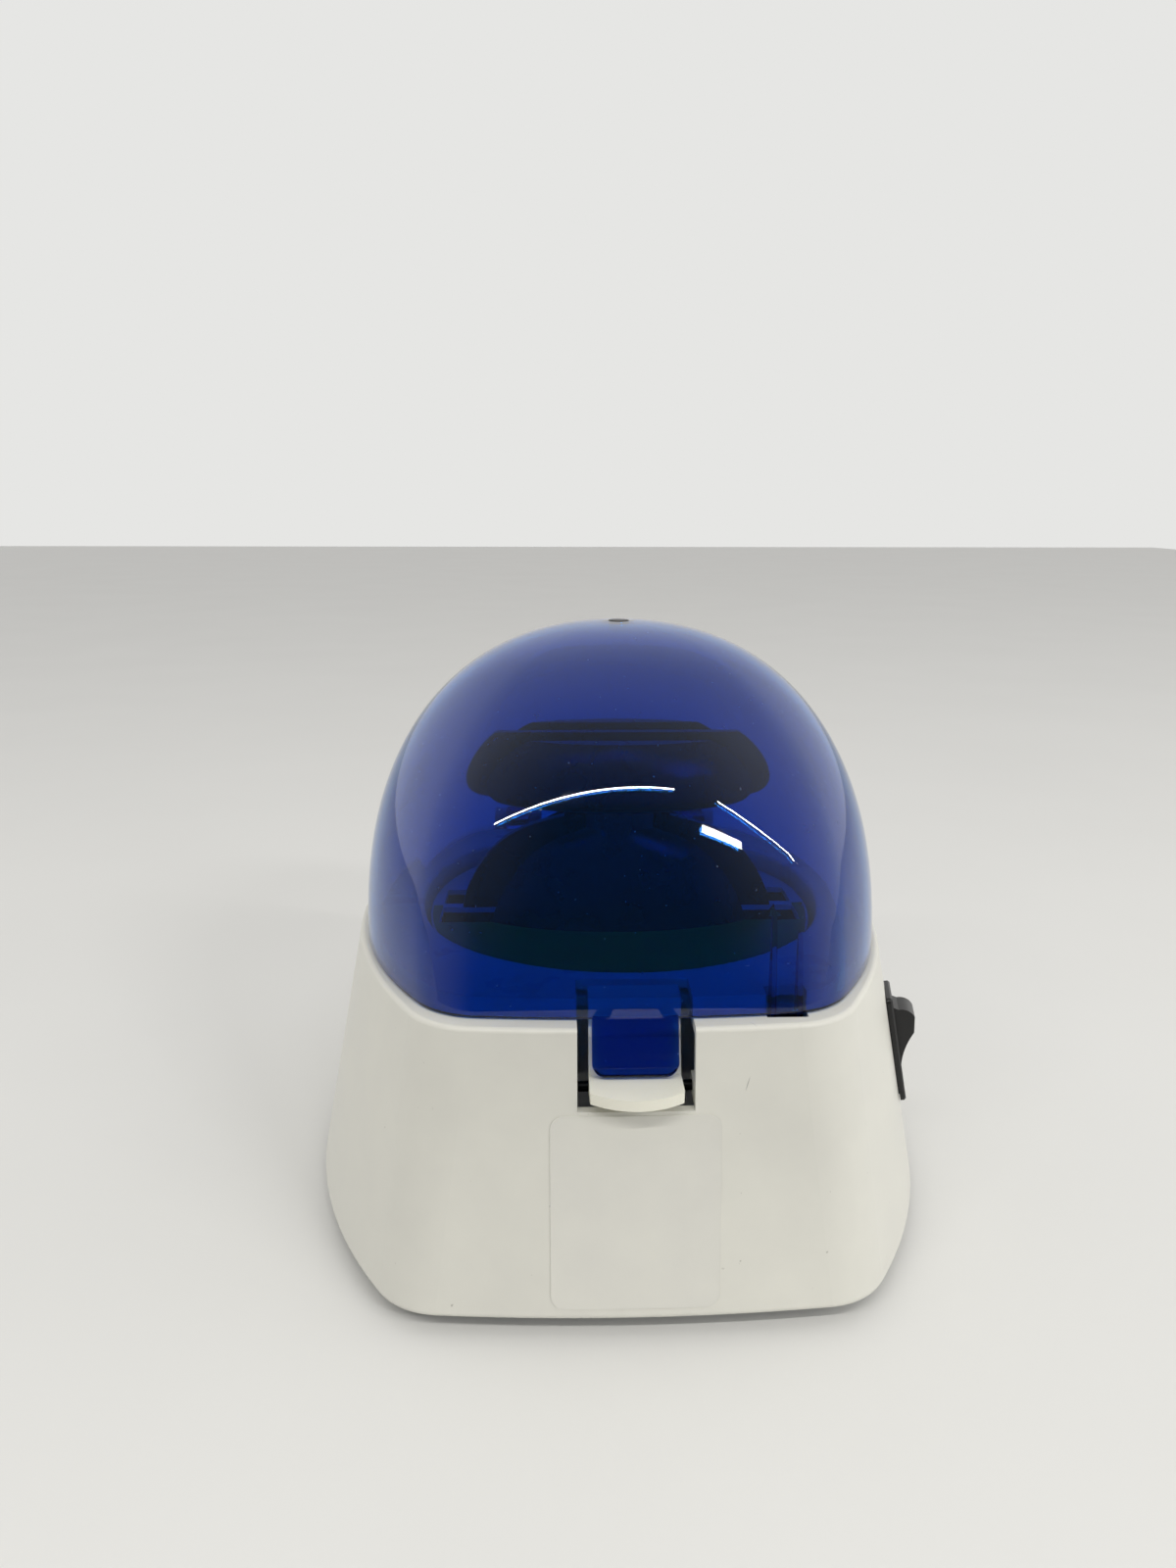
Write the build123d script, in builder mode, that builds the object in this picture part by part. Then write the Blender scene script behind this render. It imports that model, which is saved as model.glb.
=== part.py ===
"""Bench-top centrifuge for two microplates.

A white flared housing carries a deck with a round rotor well. A black rotor holds two plates on edge, back to
back, and turns on the motor shaft. A clear blue domed lid is hinged at the rear and held by a latch tongue at the
front. A rocker switch sits in the right wall, and a microswitch under the deck senses the lid.

Frame: millimetres, +Z up, front towards -Y, origin under the middle of the whole machine on the table.
"""

import math
import os

from build123d import *

LOW = (Align.CENTER, Align.CENTER, Align.MIN)  # a solid stands on its place
HIGH = (Align.CENTER, Align.CENTER, Align.MAX)  # a solid hangs from its place

# ---- overall form ----
HEIGHT = 196.0  # table to the top of the lid
FOOT_H = 5.9  # housing underside above the table
SEAM_Z = 92.6  # flat top of the housing, where the lid closes
AXIS_Y = -1.7  # rotor axis, measured from the middle of the machine
BASE_HALF_W = 107.7  # housing half width at its underside
BASE_HALF_D = 114.0  # housing half depth at its underside
TOP_HALF_W = 91.1  # housing half width at the seam, before its shoulder is rounded
TOP_FRONT = -103.6  # front of the housing at the seam, before its shoulder is rounded
TOP_REAR = 109.0  # rear of the housing at the seam
CORNER_X = 0.641  # plan corners, as a share of the half width
CORNER_Y = 0.967  # plan corners, as a share of the reach from the rotor axis
CORNER_R = 24.0  # plan corner radius of the housing and the lid
SHOULDER_R = 1.5
HEM_R = 1.5
WALL = 3.0
TOP_T = 3.0
FIT = 0.3  # gap between pieces that move past each other

# ---- lid ----
LID_GAP = 0.4
LID_HALF_W = 87.7
LID_FRONT = -98.1
LID_REAR = 84.3
LID_WALL = 2.6
LID_POWER = 2.28  # exponent of the dome's profile
LID_TOP_CORNER = 0.72  # plan corners close to the top, where the lid is almost round
LID_CORNER_GROWTH = 1.2  # how much rounder the corners grow towards the top
PLUG_R = 3.5
PLUG_PROUD = 0.15
PLUG_DEPTH = 3.4
LID_STEPS = (0.0, 0.22, 0.42, 0.6, 0.75, 0.87, 0.945, 0.985, 0.9985)

# ---- deck and rotor well ----
DECK_Z = 98.0
DECK_T = 3.0
DECK_MARGIN = 1.5  # gap from the deck's edge to the inside of the lid
DECK_SKIRT = 2.5
WELL_R = 73.5
WELL_WALL = 2.5
WELL_FLOOR_Z = 47.0
WELL_FLOOR_T = 3.0
WELL_LIP_R = 1.2

# ---- rotor ----
PLATE_L = 127.76  # standard microplate footprint
PLATE_W = 85.48
PLATE_H = 14.35
PLATE_CLEAR = 0.8
WEB_T = 4.0  # wall between the two plates
PLATE_FLOOR_Z = 63.0
BUCKET_T = 3.0
FLANGE_Z = 92.5
FLANGE_T = 2.0
FLANGE_R = 70.5
MOUND = ((56.4, 28.0, 0.0), (54.6, 27.4, 6.5), (50.3, 26.4, 14.9), (43.6, 25.0, 23.3), (31.8, 23.0, 30.5),
         (19.4, 21.6, 34.0))
NECK_X = 19.0
NECK_Y = 21.5
NECK_TOP = 41.5
CAP = ((45.0, 25.5, 41.5), (54.5, 31.0, 48.5), (51.0, 29.0, 57.0), (43.0, 24.5, 64.5))
ROTOR_LABEL_T = 0.2
HUB_R = 10.0
HUB_BOTTOM = 48.6
SHAFT_R = 3.0
SHAFT_RUN = 0.05  # radial running clearance of the shaft in the motor

# ---- motor ----
MOTOR_R = 30.0
MOTOR_BOTTOM = 10.5
MOTOR_TOP = 37.0
MOTOR_NOSE_R = 7.5
MOTOR_NOSE_H = 3.0
MOUNT_R = 34.0
MOUNT_T = 2.5
GROMMET_R = 4.5
MOTOR_BOLT_REACH = 24.0
MOTOR_SCREW_R = 1.5
MOTOR_SCREW_HEAD_R = 2.8
MOTOR_SCREW_HEAD_H = 2.4
SEAL_R = 11.0
SEAL_BORE = 4.2

# ---- hinge ----
HINGE_Y = 97.0
HINGE_Z = 98.5
HINGE_X = 39.0
ARM_W = 10.0
LUG_W = 5.2
BARREL_R = 5.0
PIN_R = 2.0
PIN_RUN = 0.06

# ---- latch ----
NOTCH_HALF = 16.7
NOTCH_BOTTOM = 68.6
NOTCH_REAR = -80.6
TONGUE_HALF = 13.3
TONGUE_T = 2.4
TAB_HALF = 12.45
TAB_T = 2.4
TAB_BOTTOM = 77.3
TAB_BOTTOM_Y = -103.0
TAB_CORNER = 4.0
CATCH_GAP = 2.1  # between the lid's tab and the tongue
CATCH_H = 0.9
RIDGE_LOW = 2.6  # catch ridge on the back of the lid's tab, above the tab's end
RIDGE_H = 4.6
HOOK_LOW = 9.6  # hook of the tongue, above the tab's end
HOOK_H = 3.0
LEDGE_Z = 76.3
LEDGE_T = 3.3
LEDGE_CORNER = 6.0
LATCH_PIN_R = 1.5
LATCH_PIN_Y = -97.6
LATCH_PIN_Z = 72.0
LATCH_BARREL_R = 3.0
TONGUE_PAD_REAR = -85.0

# ---- interlock ----
PRONG_X = 0.483 * TOP_HALF_W  # to the right of the latch
PRONG_W = 9.2
PRONG_INNER_Y = -88.0
PRONG_BOTTOM = 84.0
PRONG_RIB = 2.0
PRONG_WEB = 1.5
PRONG_CLEAR = 1.4
SWITCH_L = 20.0
SWITCH_W = 6.4
SWITCH_H = 10.0
BUTTON_W = 3.0
BUTTON_STROKE = 1.5
CRADLE_T = 2.0

# ---- rocker switch ----
ROCKER_Y = -38.0
ROCKER_Z = 54.8
BEZEL_L = 38.0
BEZEL_W = 17.0
BEZEL_T = 1.6
CAN_L = 33.6
CAN_W = 14.0
CAN_DEPTH = 18.0
CAVITY_L = 32.0
CAVITY_W = 11.2
CAVITY_DEPTH = 8.0
ROCKER_GAP = 0.4
ROCKER_PIVOT = 3.0  # depth of the rocker's pin behind the wall's face
ROCKER_PIN_R = 1.0
ROCKER_SINK = 0.6  # ends of the rocker below the wall's face
ROCKER_LIP = (0.3, 1.2)  # set in from the low end, and its height
ROCKER_DISH = (-4.0, 2.4)
ROCKER_CREST = ((4.6, 7.3), (10.2, 8.2), (12.6, 6.4), (13.4, 3.2))
ROCKER_KEEL_HALF = 4.0
ROCKER_KEEL = 2.0  # keel below the pin
BEZEL_CORNER = 1.5
BEZEL_EDGE = 0.6

# ---- base, feet, board, inlet ----
PLATE_T = 3.0
PLATE_GAP = 0.7
FOOT_R = 9.0
FOOT_X = 78.0
FOOT_Y = 58.0
BOSS_X = 58.0
BOSS_Y = 73.0
BOSS_R = 4.5
SCREW_R = 1.4
SCREW_HEAD_R = 3.0
SCREW_HEAD_H = 1.6
SCREW_L = 14.0
BOARD_X = -66.0
BOARD_L = 44.0
BOARD_D = 62.0
BOARD_T = 1.6
BOARD_LIFT = 6.0
POST_R = 2.6
CAP_R = 5.0  # the two capacitors
CAP_H = 13.0
CAP_Y = 16.0
CAP_XS = (-9.0, 3.0)
RELAY = (20.0, 15.0, 12.0)
RELAY_Y = -2.0
TERMINAL = (26.0, 7.0, 9.0)
TERMINAL_Y = -22.0
INLET_X = -45.0
INLET_Z = 26.0
INLET_R = 5.5
INLET_FLANGE_R = 7.6
INLET_SEAT = 1.2  # the flange's depth in the wall
INLET_PROUD = 1.0
INLET_FLOOR = 5.0
INLET_BORE = 2.75
INLET_PIN_R = 1.0
INLET_DEPTH = 15.0
VENT_W = 2.6
VENT_H = 24.0
VENT_PITCH = 6.4
VENT_COUNT = 9
LABEL_W = 49.0
LABEL_H = 58.0
LABEL_Z = 38.5
LABEL_T = 0.2
LABEL_CORNER = 4.0
LABEL_GAP = 0.03  # glue line behind the label

PLATE_TOP = FOOT_H + PLATE_T
SHELF_Z = SEAM_Z - TOP_T
LID_BASE = SEAM_Z + LID_GAP
DOME_TOP = HEIGHT - PLUG_PROUD
POCKET_HALF = PLATE_L / 2 + PLATE_CLEAR
POCKET_IN = WEB_T / 2
POCKET_OUT = POCKET_IN + PLATE_H + PLATE_CLEAR
BUCKET_BOTTOM = PLATE_FLOOR_Z - BUCKET_T


def outline(z, half_w, front, rear, corner_x=CORNER_X, corner_y=CORNER_Y, corner=CORNER_R):
    """Plan shape of the machine at height z: four shallow arcs joined by round corners."""
    x = corner_x * half_w
    y_front = AXIS_Y + corner_y * (front - AXIS_Y)
    y_rear = AXIS_Y + corner_y * (rear - AXIS_Y)
    with BuildSketch(Plane.XY.offset(z)) as plan:
        with BuildLine():
            ThreePointArc((-x, y_front), (0, front), (x, y_front))
            ThreePointArc((x, y_front), (half_w, AXIS_Y), (x, y_rear))
            ThreePointArc((x, y_rear), (0, rear), (-x, y_rear))
            ThreePointArc((-x, y_rear), (-half_w, AXIS_Y), (-x, y_front))
        make_face()
        fillet(plan.vertices(), corner)
    return plan.sketch


def wall_at(z):
    """Half width, front and rear of the housing's outside at height z."""
    share = (z - FOOT_H) / (SEAM_Z - FOOT_H)
    half_w = BASE_HALF_W + share * (TOP_HALF_W - BASE_HALF_W)
    front = -BASE_HALF_D + share * (TOP_FRONT + BASE_HALF_D)
    rear = BASE_HALF_D + share * (TOP_REAR - BASE_HALF_D)
    return half_w, front, rear


def rear_wall_at(x, z):
    """Y of the rear wall's outside at x and height z."""
    half_w, _, rear = wall_at(z)
    half_chord = CORNER_X * half_w
    sag = (rear - AXIS_Y) * (1 - CORNER_Y)
    radius = (half_chord**2 + sag**2) / (2 * sag)
    return rear - radius + math.sqrt(radius**2 - x**2)


def housing_outline(z, inset=0.0):
    half_w, front, rear = wall_at(z)
    return outline(z, half_w - inset, front + inset, rear - inset, corner=CORNER_R - inset)


def lid_sections(inset):
    """Plan shapes of the dome from its rim to its top, set in by the wall for the inside."""
    rise = DOME_TOP - inset - LID_BASE
    sections = []
    for t in LID_STEPS:
        size = (1 - t**LID_POWER) ** (1 / LID_POWER)
        corner_x = CORNER_X + (LID_TOP_CORNER - CORNER_X) * t
        corner_y = CORNER_Y + (LID_TOP_CORNER - CORNER_Y) * t
        sections.append(
            outline(
                LID_BASE + rise * t,
                (LID_HALF_W - inset) * size,
                AXIS_Y + (LID_FRONT + inset - AXIS_Y) * size,
                AXIS_Y + (LID_REAR - inset - AXIS_Y) * size,
                corner_x,
                corner_y,
                (CORNER_R - inset) * (1 + LID_CORNER_GROWTH * t) * size,
            )
        )
    return sections


def save(piece, name):
    piece.part.label = name
    export_step(piece.part, f"parts/{name}.step")


def corner_places(x, y, z):
    return [Location((sx * x, AXIS_Y + sy * y, z)) for sx in (-1, 1) for sy in (-1, 1)]


# The rocker switch stands square to the curved, sloping right wall.
rocker_half_w, rocker_front, _ = wall_at(ROCKER_Z)
side_x = CORNER_X * rocker_half_w
side_y = CORNER_Y * (rocker_front - AXIS_Y)
side_sag = rocker_half_w - side_x
SIDE_R = (side_sag**2 + side_y**2) / (2 * side_sag)
side_turn = math.asin((AXIS_Y - ROCKER_Y) / SIDE_R)
side_slope = math.atan((BASE_HALF_W - TOP_HALF_W) / (SEAM_Z - FOOT_H))
ROCKER_AT = (rocker_half_w - SIDE_R * (1 - math.cos(side_turn)), ROCKER_Y, ROCKER_Z)
ROCKER_NORMAL = (
    math.cos(side_turn) * math.cos(side_slope),
    -math.sin(side_turn) * math.cos(side_slope),
    math.sin(side_slope),
)
ROCKER_AXIS = (math.sin(side_turn), math.cos(side_turn), 0)
WALL_PLANE = Plane(origin=ROCKER_AT, x_dir=ROCKER_AXIS, z_dir=ROCKER_NORMAL)
SIDE_PLANE = Plane(origin=ROCKER_AT, x_dir=WALL_PLANE.y_dir, z_dir=WALL_PLANE.x_dir)

# The lid's tab and the latch tongue behind it share one slope.
TAB_TOP_Y = LID_FRONT
tab_slope = (TAB_TOP_Y - TAB_BOTTOM_Y) / (LID_BASE - TAB_BOTTOM)


def tab_face(z):
    """Y of the tab's outer face at height z."""
    return TAB_TOP_Y - tab_slope * (LID_BASE - z)


def tongue_face(z):
    return tab_face(z) + TAB_T + CATCH_GAP


def make_housing():
    with BuildPart() as housing:
        loft(sections=[housing_outline(FOOT_H), housing_outline(SEAM_Z)], ruled=True)
        fillet(housing.faces().sort_by(Axis.Z)[-1].edges(), SHOULDER_R)
        fillet(housing.faces().sort_by(Axis.Z)[0].edges(), HEM_R)
        inside = [housing_outline(FOOT_H, WALL), housing_outline(SHELF_Z, WALL)]
        loft(sections=inside, ruled=True, mode=Mode.SUBTRACT)
        # screw bosses run from the base plate up to the shelf
        with Locations(*corner_places(BOSS_X, BOSS_Y, PLATE_TOP)):
            Cylinder(BOSS_R, SHELF_Z - PLATE_TOP + WALL / 2, align=LOW)
        with Locations(*corner_places(BOSS_X, BOSS_Y, PLATE_TOP)):
            Cylinder(SCREW_R, SCREW_L, align=LOW, mode=Mode.SUBTRACT)
        # rotor well opening
        with BuildSketch(Plane.XY.offset(SHELF_Z - FIT)):
            with Locations((0, AXIS_Y)):
                Circle(WELL_R + WELL_WALL + FIT)
        extrude(amount=TOP_T + 2 * FIT, mode=Mode.SUBTRACT)
        # latch notch through the front wall and the shelf
        notch_top = SEAM_Z + FIT
        with BuildSketch(Plane.XY.offset(NOTCH_BOTTOM)):
            with Locations((0, (NOTCH_REAR - BASE_HALF_D) / 2)):
                Rectangle(2 * NOTCH_HALF, BASE_HALF_D + NOTCH_REAR)
        extrude(amount=notch_top - NOTCH_BOTTOM, mode=Mode.SUBTRACT)
        # bosses that carry the latch pin, behind the front wall
        boss_front = wall_at(LATCH_PIN_Z)[1] + WALL / 2
        boss_rear = LATCH_PIN_Y + LATCH_BARREL_R
        boss_y = (boss_front + boss_rear) / 2
        with Locations(*[(s * (NOTCH_HALF + WALL / 2), boss_y, LATCH_PIN_Z) for s in (-1, 1)]):
            Box(WALL, boss_rear - boss_front, 2 * LATCH_BARREL_R)
        with Locations((0, LATCH_PIN_Y, LATCH_PIN_Z)):
            Cylinder(LATCH_PIN_R, 2 * (NOTCH_HALF + WALL), rotation=(0, 90, 0), mode=Mode.SUBTRACT)
        # slot for the lid's prong
        with BuildSketch(Plane.XY.offset(SHELF_Z - FIT)):
            with Locations((PRONG_X, (LID_FRONT + LID_WALL + PRONG_INNER_Y) / 2)):
                Rectangle(PRONG_W + 2 * PRONG_CLEAR, PRONG_INNER_Y - LID_FRONT - LID_WALL + 2 * PRONG_CLEAR)
        extrude(amount=TOP_T + 2 * FIT, mode=Mode.SUBTRACT)
        # hinge lugs on the rear shelf
        lug_step = (ARM_W + LUG_W) / 2 + FIT
        for x in [s * HINGE_X + o * lug_step for s in (-1, 1) for o in (-1, 1)]:
            with BuildSketch(Plane.YZ.offset(x - LUG_W / 2)):
                with Locations((HINGE_Y, HINGE_Z)):
                    Circle(BARREL_R)
                with Locations((HINGE_Y, (HINGE_Z + SEAM_Z) / 2)):
                    Rectangle(2 * BARREL_R, HINGE_Z - SEAM_Z)
                with Locations((HINGE_Y, HINGE_Z)):
                    Circle(PIN_R, mode=Mode.SUBTRACT)
            extrude(amount=LUG_W)
        # rocker switch opening, with a flat seat for its bezel
        with BuildSketch(WALL_PLANE.offset(-2 * WALL)):
            Rectangle(CAN_W + FIT, CAN_L + FIT)
        extrude(amount=3 * WALL, mode=Mode.SUBTRACT)
        with BuildSketch(WALL_PLANE.offset(-FIT)):
            Rectangle(BEZEL_W, BEZEL_L)
        extrude(amount=2 * WALL, mode=Mode.SUBTRACT)
        # power inlet and cooling slots in the rear wall
        with BuildSketch(Plane.XZ.offset(-BASE_HALF_D + 4 * WALL)):
            with Locations((INLET_X, INLET_Z)):
                Circle(INLET_R)
            with Locations((-INLET_X / 2, INLET_Z + VENT_H / 4)):
                with GridLocations(VENT_PITCH, 1, VENT_COUNT, 1):
                    SlotOverall(VENT_H, VENT_W, rotation=90)
        extrude(amount=-5 * WALL, mode=Mode.SUBTRACT)
        with BuildSketch(Plane.XZ.offset(-(rear_wall_at(INLET_X, INLET_Z) - INLET_SEAT))):
            with Locations((INLET_X, INLET_Z)):
                Circle(INLET_FLANGE_R + PIN_RUN)
        extrude(amount=-3 * WALL, mode=Mode.SUBTRACT)
    save(housing, "housing")


def make_chamber():
    """Deck and rotor well, one white moulding that stands on the housing's shelf."""
    edge = LID_WALL + DECK_MARGIN

    def deck_outline(z, inset):
        return outline(z, LID_HALF_W - inset, LID_FRONT + inset, LID_REAR - inset, corner=CORNER_R - inset)

    with BuildPart() as chamber:
        add(deck_outline(SEAM_Z, edge))
        extrude(amount=DECK_Z - SEAM_Z)
        add(deck_outline(SEAM_Z, edge + DECK_SKIRT))
        extrude(amount=DECK_Z - DECK_T - SEAM_Z, mode=Mode.SUBTRACT)
        with BuildSketch(Plane.XY.offset(WELL_FLOOR_Z - WELL_FLOOR_T)):
            with Locations((0, AXIS_Y)):
                Circle(WELL_R + WELL_WALL)
        extrude(amount=DECK_Z - WELL_FLOOR_Z + WELL_FLOOR_T)
        with BuildSketch(Plane.XY.offset(WELL_FLOOR_Z)):
            with Locations((0, AXIS_Y)):
                Circle(WELL_R)
        extrude(amount=DECK_Z - WELL_FLOOR_Z, mode=Mode.SUBTRACT)
        rim = chamber.edges().filter_by(GeomType.CIRCLE).group_by(Axis.Z)[-1]
        fillet(rim.filter_by(lambda e: abs(e.radius - WELL_R) < FIT / 10), WELL_LIP_R)
        with BuildSketch(Plane.XY.offset(WELL_FLOOR_Z)):
            with Locations((0, AXIS_Y)):
                Circle(SEAL_R)
                with PolarLocations(MOTOR_BOLT_REACH, 4, start_angle=45):
                    Circle(MOTOR_SCREW_R)
        extrude(amount=-WELL_FLOOR_T, mode=Mode.SUBTRACT)
        # room for the latch tongue and for the lid's prong
        with BuildSketch(Plane.XY.offset(SEAM_Z)):
            with Locations((0, (NOTCH_REAR - BASE_HALF_D) / 2)):
                Rectangle(2 * NOTCH_HALF, BASE_HALF_D + NOTCH_REAR)
            with Locations((PRONG_X, (PRONG_INNER_Y + PRONG_CLEAR - BASE_HALF_D) / 2)):
                Rectangle(PRONG_W + 2 * PRONG_CLEAR, BASE_HALF_D + PRONG_INNER_Y + PRONG_CLEAR)
        extrude(amount=DECK_Z - SEAM_Z, mode=Mode.SUBTRACT)
    save(chamber, "chamber")


def make_base():
    with BuildPart() as base_plate:
        add(housing_outline(FOOT_H, WALL + PLATE_GAP))
        extrude(amount=PLATE_T)
        for place in corner_places(BOSS_X, BOSS_Y, FOOT_H):
            with BuildSketch(Plane.XY.offset(FOOT_H)):
                with Locations(place):
                    Circle(SCREW_HEAD_R + FIT)
            extrude(amount=SCREW_HEAD_H + FIT, mode=Mode.SUBTRACT)
            with BuildSketch(Plane.XY.offset(FOOT_H)):
                with Locations(place):
                    Circle(SCREW_R + FIT)
            extrude(amount=PLATE_T, mode=Mode.SUBTRACT)
        with BuildSketch(Plane.XY.offset(FOOT_H)):
            with Locations((-BOARD_X, AXIS_Y)):
                with GridLocations(1, VENT_PITCH, 1, VENT_COUNT):
                    SlotOverall(VENT_H, VENT_W)
        extrude(amount=PLATE_T, mode=Mode.SUBTRACT)
    save(base_plate, "base_plate")

    with BuildPart() as feet:
        for place in corner_places(FOOT_X, FOOT_Y, 0):
            with Locations(place):
                Cone(FOOT_R - 1, FOOT_R, FOOT_H, align=LOW)
    save(feet, "feet")

    with BuildPart() as base_screws:
        for place in corner_places(BOSS_X, BOSS_Y, FOOT_H + FIT):
            with Locations(place):
                Cylinder(SCREW_HEAD_R, SCREW_HEAD_H, align=LOW)
                Cylinder(SCREW_R, PLATE_T + SCREW_L - FIT - HEM_R, align=LOW)
    save(base_screws, "base_screws")


def make_front_label():
    """Blank label that follows the curved front wall."""

    def wall_form(growth):
        with BuildPart() as form:
            loft(sections=[housing_outline(FOOT_H, -growth), housing_outline(SEAM_Z, -growth)], ruled=True)
        return form.part

    with BuildPart() as front_label:
        with BuildSketch(Plane.XZ.offset(-TOP_FRONT - 4 * WALL)):
            with Locations((0, LABEL_Z)):
                RectangleRounded(LABEL_W, LABEL_H, LABEL_CORNER)
        extrude(amount=BASE_HALF_D + TOP_FRONT + 8 * WALL)
        add(wall_form(LABEL_GAP + LABEL_T), mode=Mode.INTERSECT)
        add(wall_form(LABEL_GAP), mode=Mode.SUBTRACT)
    save(front_label, "front_label")


def make_motor():
    with BuildPart() as motor:
        with Locations((0, AXIS_Y, MOTOR_BOTTOM)):
            Cylinder(MOTOR_R, MOTOR_TOP - MOTOR_BOTTOM, align=LOW)
        fillet(motor.edges().filter_by(GeomType.CIRCLE), HEM_R)
        with Locations((0, AXIS_Y, MOTOR_TOP)):
            Cylinder(MOTOR_NOSE_R, MOTOR_NOSE_H, align=LOW)
        with Locations((0, AXIS_Y, MOTOR_BOTTOM + WALL)):
            Cylinder(SHAFT_R + SHAFT_RUN, HEIGHT, align=LOW, mode=Mode.SUBTRACT)
    save(motor, "motor")

    with BuildPart() as motor_mount:
        with BuildSketch(Plane.XY.offset(MOTOR_TOP)):
            with Locations((0, AXIS_Y)):
                Circle(MOUNT_R)
                Circle(MOTOR_NOSE_R, mode=Mode.SUBTRACT)
                with PolarLocations(MOTOR_BOLT_REACH, 4, start_angle=45):
                    Circle(MOTOR_SCREW_R, mode=Mode.SUBTRACT)
        extrude(amount=MOUNT_T)
    save(motor_mount, "motor_mount")

    floor_bottom = WELL_FLOOR_Z - WELL_FLOOR_T
    with BuildPart() as grommets:
        with BuildSketch(Plane.XY.offset(MOTOR_TOP + MOUNT_T)):
            with Locations((0, AXIS_Y)):
                with PolarLocations(MOTOR_BOLT_REACH, 4, start_angle=45):
                    Circle(GROMMET_R)
                    Circle(MOTOR_SCREW_R, mode=Mode.SUBTRACT)
        extrude(amount=floor_bottom - MOTOR_TOP - MOUNT_T)
    save(grommets, "motor_grommets")

    with BuildPart() as motor_screws:
        with Locations((0, AXIS_Y, MOTOR_TOP)):
            with PolarLocations(MOTOR_BOLT_REACH, 4, start_angle=45):
                Cylinder(MOTOR_SCREW_R, WELL_FLOOR_Z - MOTOR_TOP, align=LOW)
        with Locations((0, AXIS_Y, WELL_FLOOR_Z)):
            with PolarLocations(MOTOR_BOLT_REACH, 4, start_angle=45):
                Cylinder(MOTOR_SCREW_HEAD_R, MOTOR_SCREW_HEAD_H, align=LOW)
    save(motor_screws, "motor_screws")

    with BuildPart() as shaft_seal:
        with BuildSketch(Plane.XY.offset(floor_bottom)):
            with Locations((0, AXIS_Y)):
                Circle(SEAL_R)
                Circle(SEAL_BORE, mode=Mode.SUBTRACT)
        extrude(amount=WELL_FLOOR_T)
    save(shaft_seal, "shaft_seal")


def pocket_sketch(z):
    """The two plate pockets, one on each side of the web."""
    with BuildSketch(Plane.XY.offset(z)) as pockets:
        for side in (-1, 1):
            with Locations((0, AXIS_Y + side * (POCKET_IN + POCKET_OUT) / 2)):
                Rectangle(2 * POCKET_HALF, POCKET_OUT - POCKET_IN)
    return pockets.sketch


def ellipses(rows):
    sections = []
    for half_x, half_y, rise in rows:
        with BuildSketch(Plane.XY.offset(FLANGE_Z + rise)) as ring:
            with Locations((0, AXIS_Y)):
                Ellipse(half_x, half_y)
        sections.append(ring.sketch)
    return sections


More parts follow.
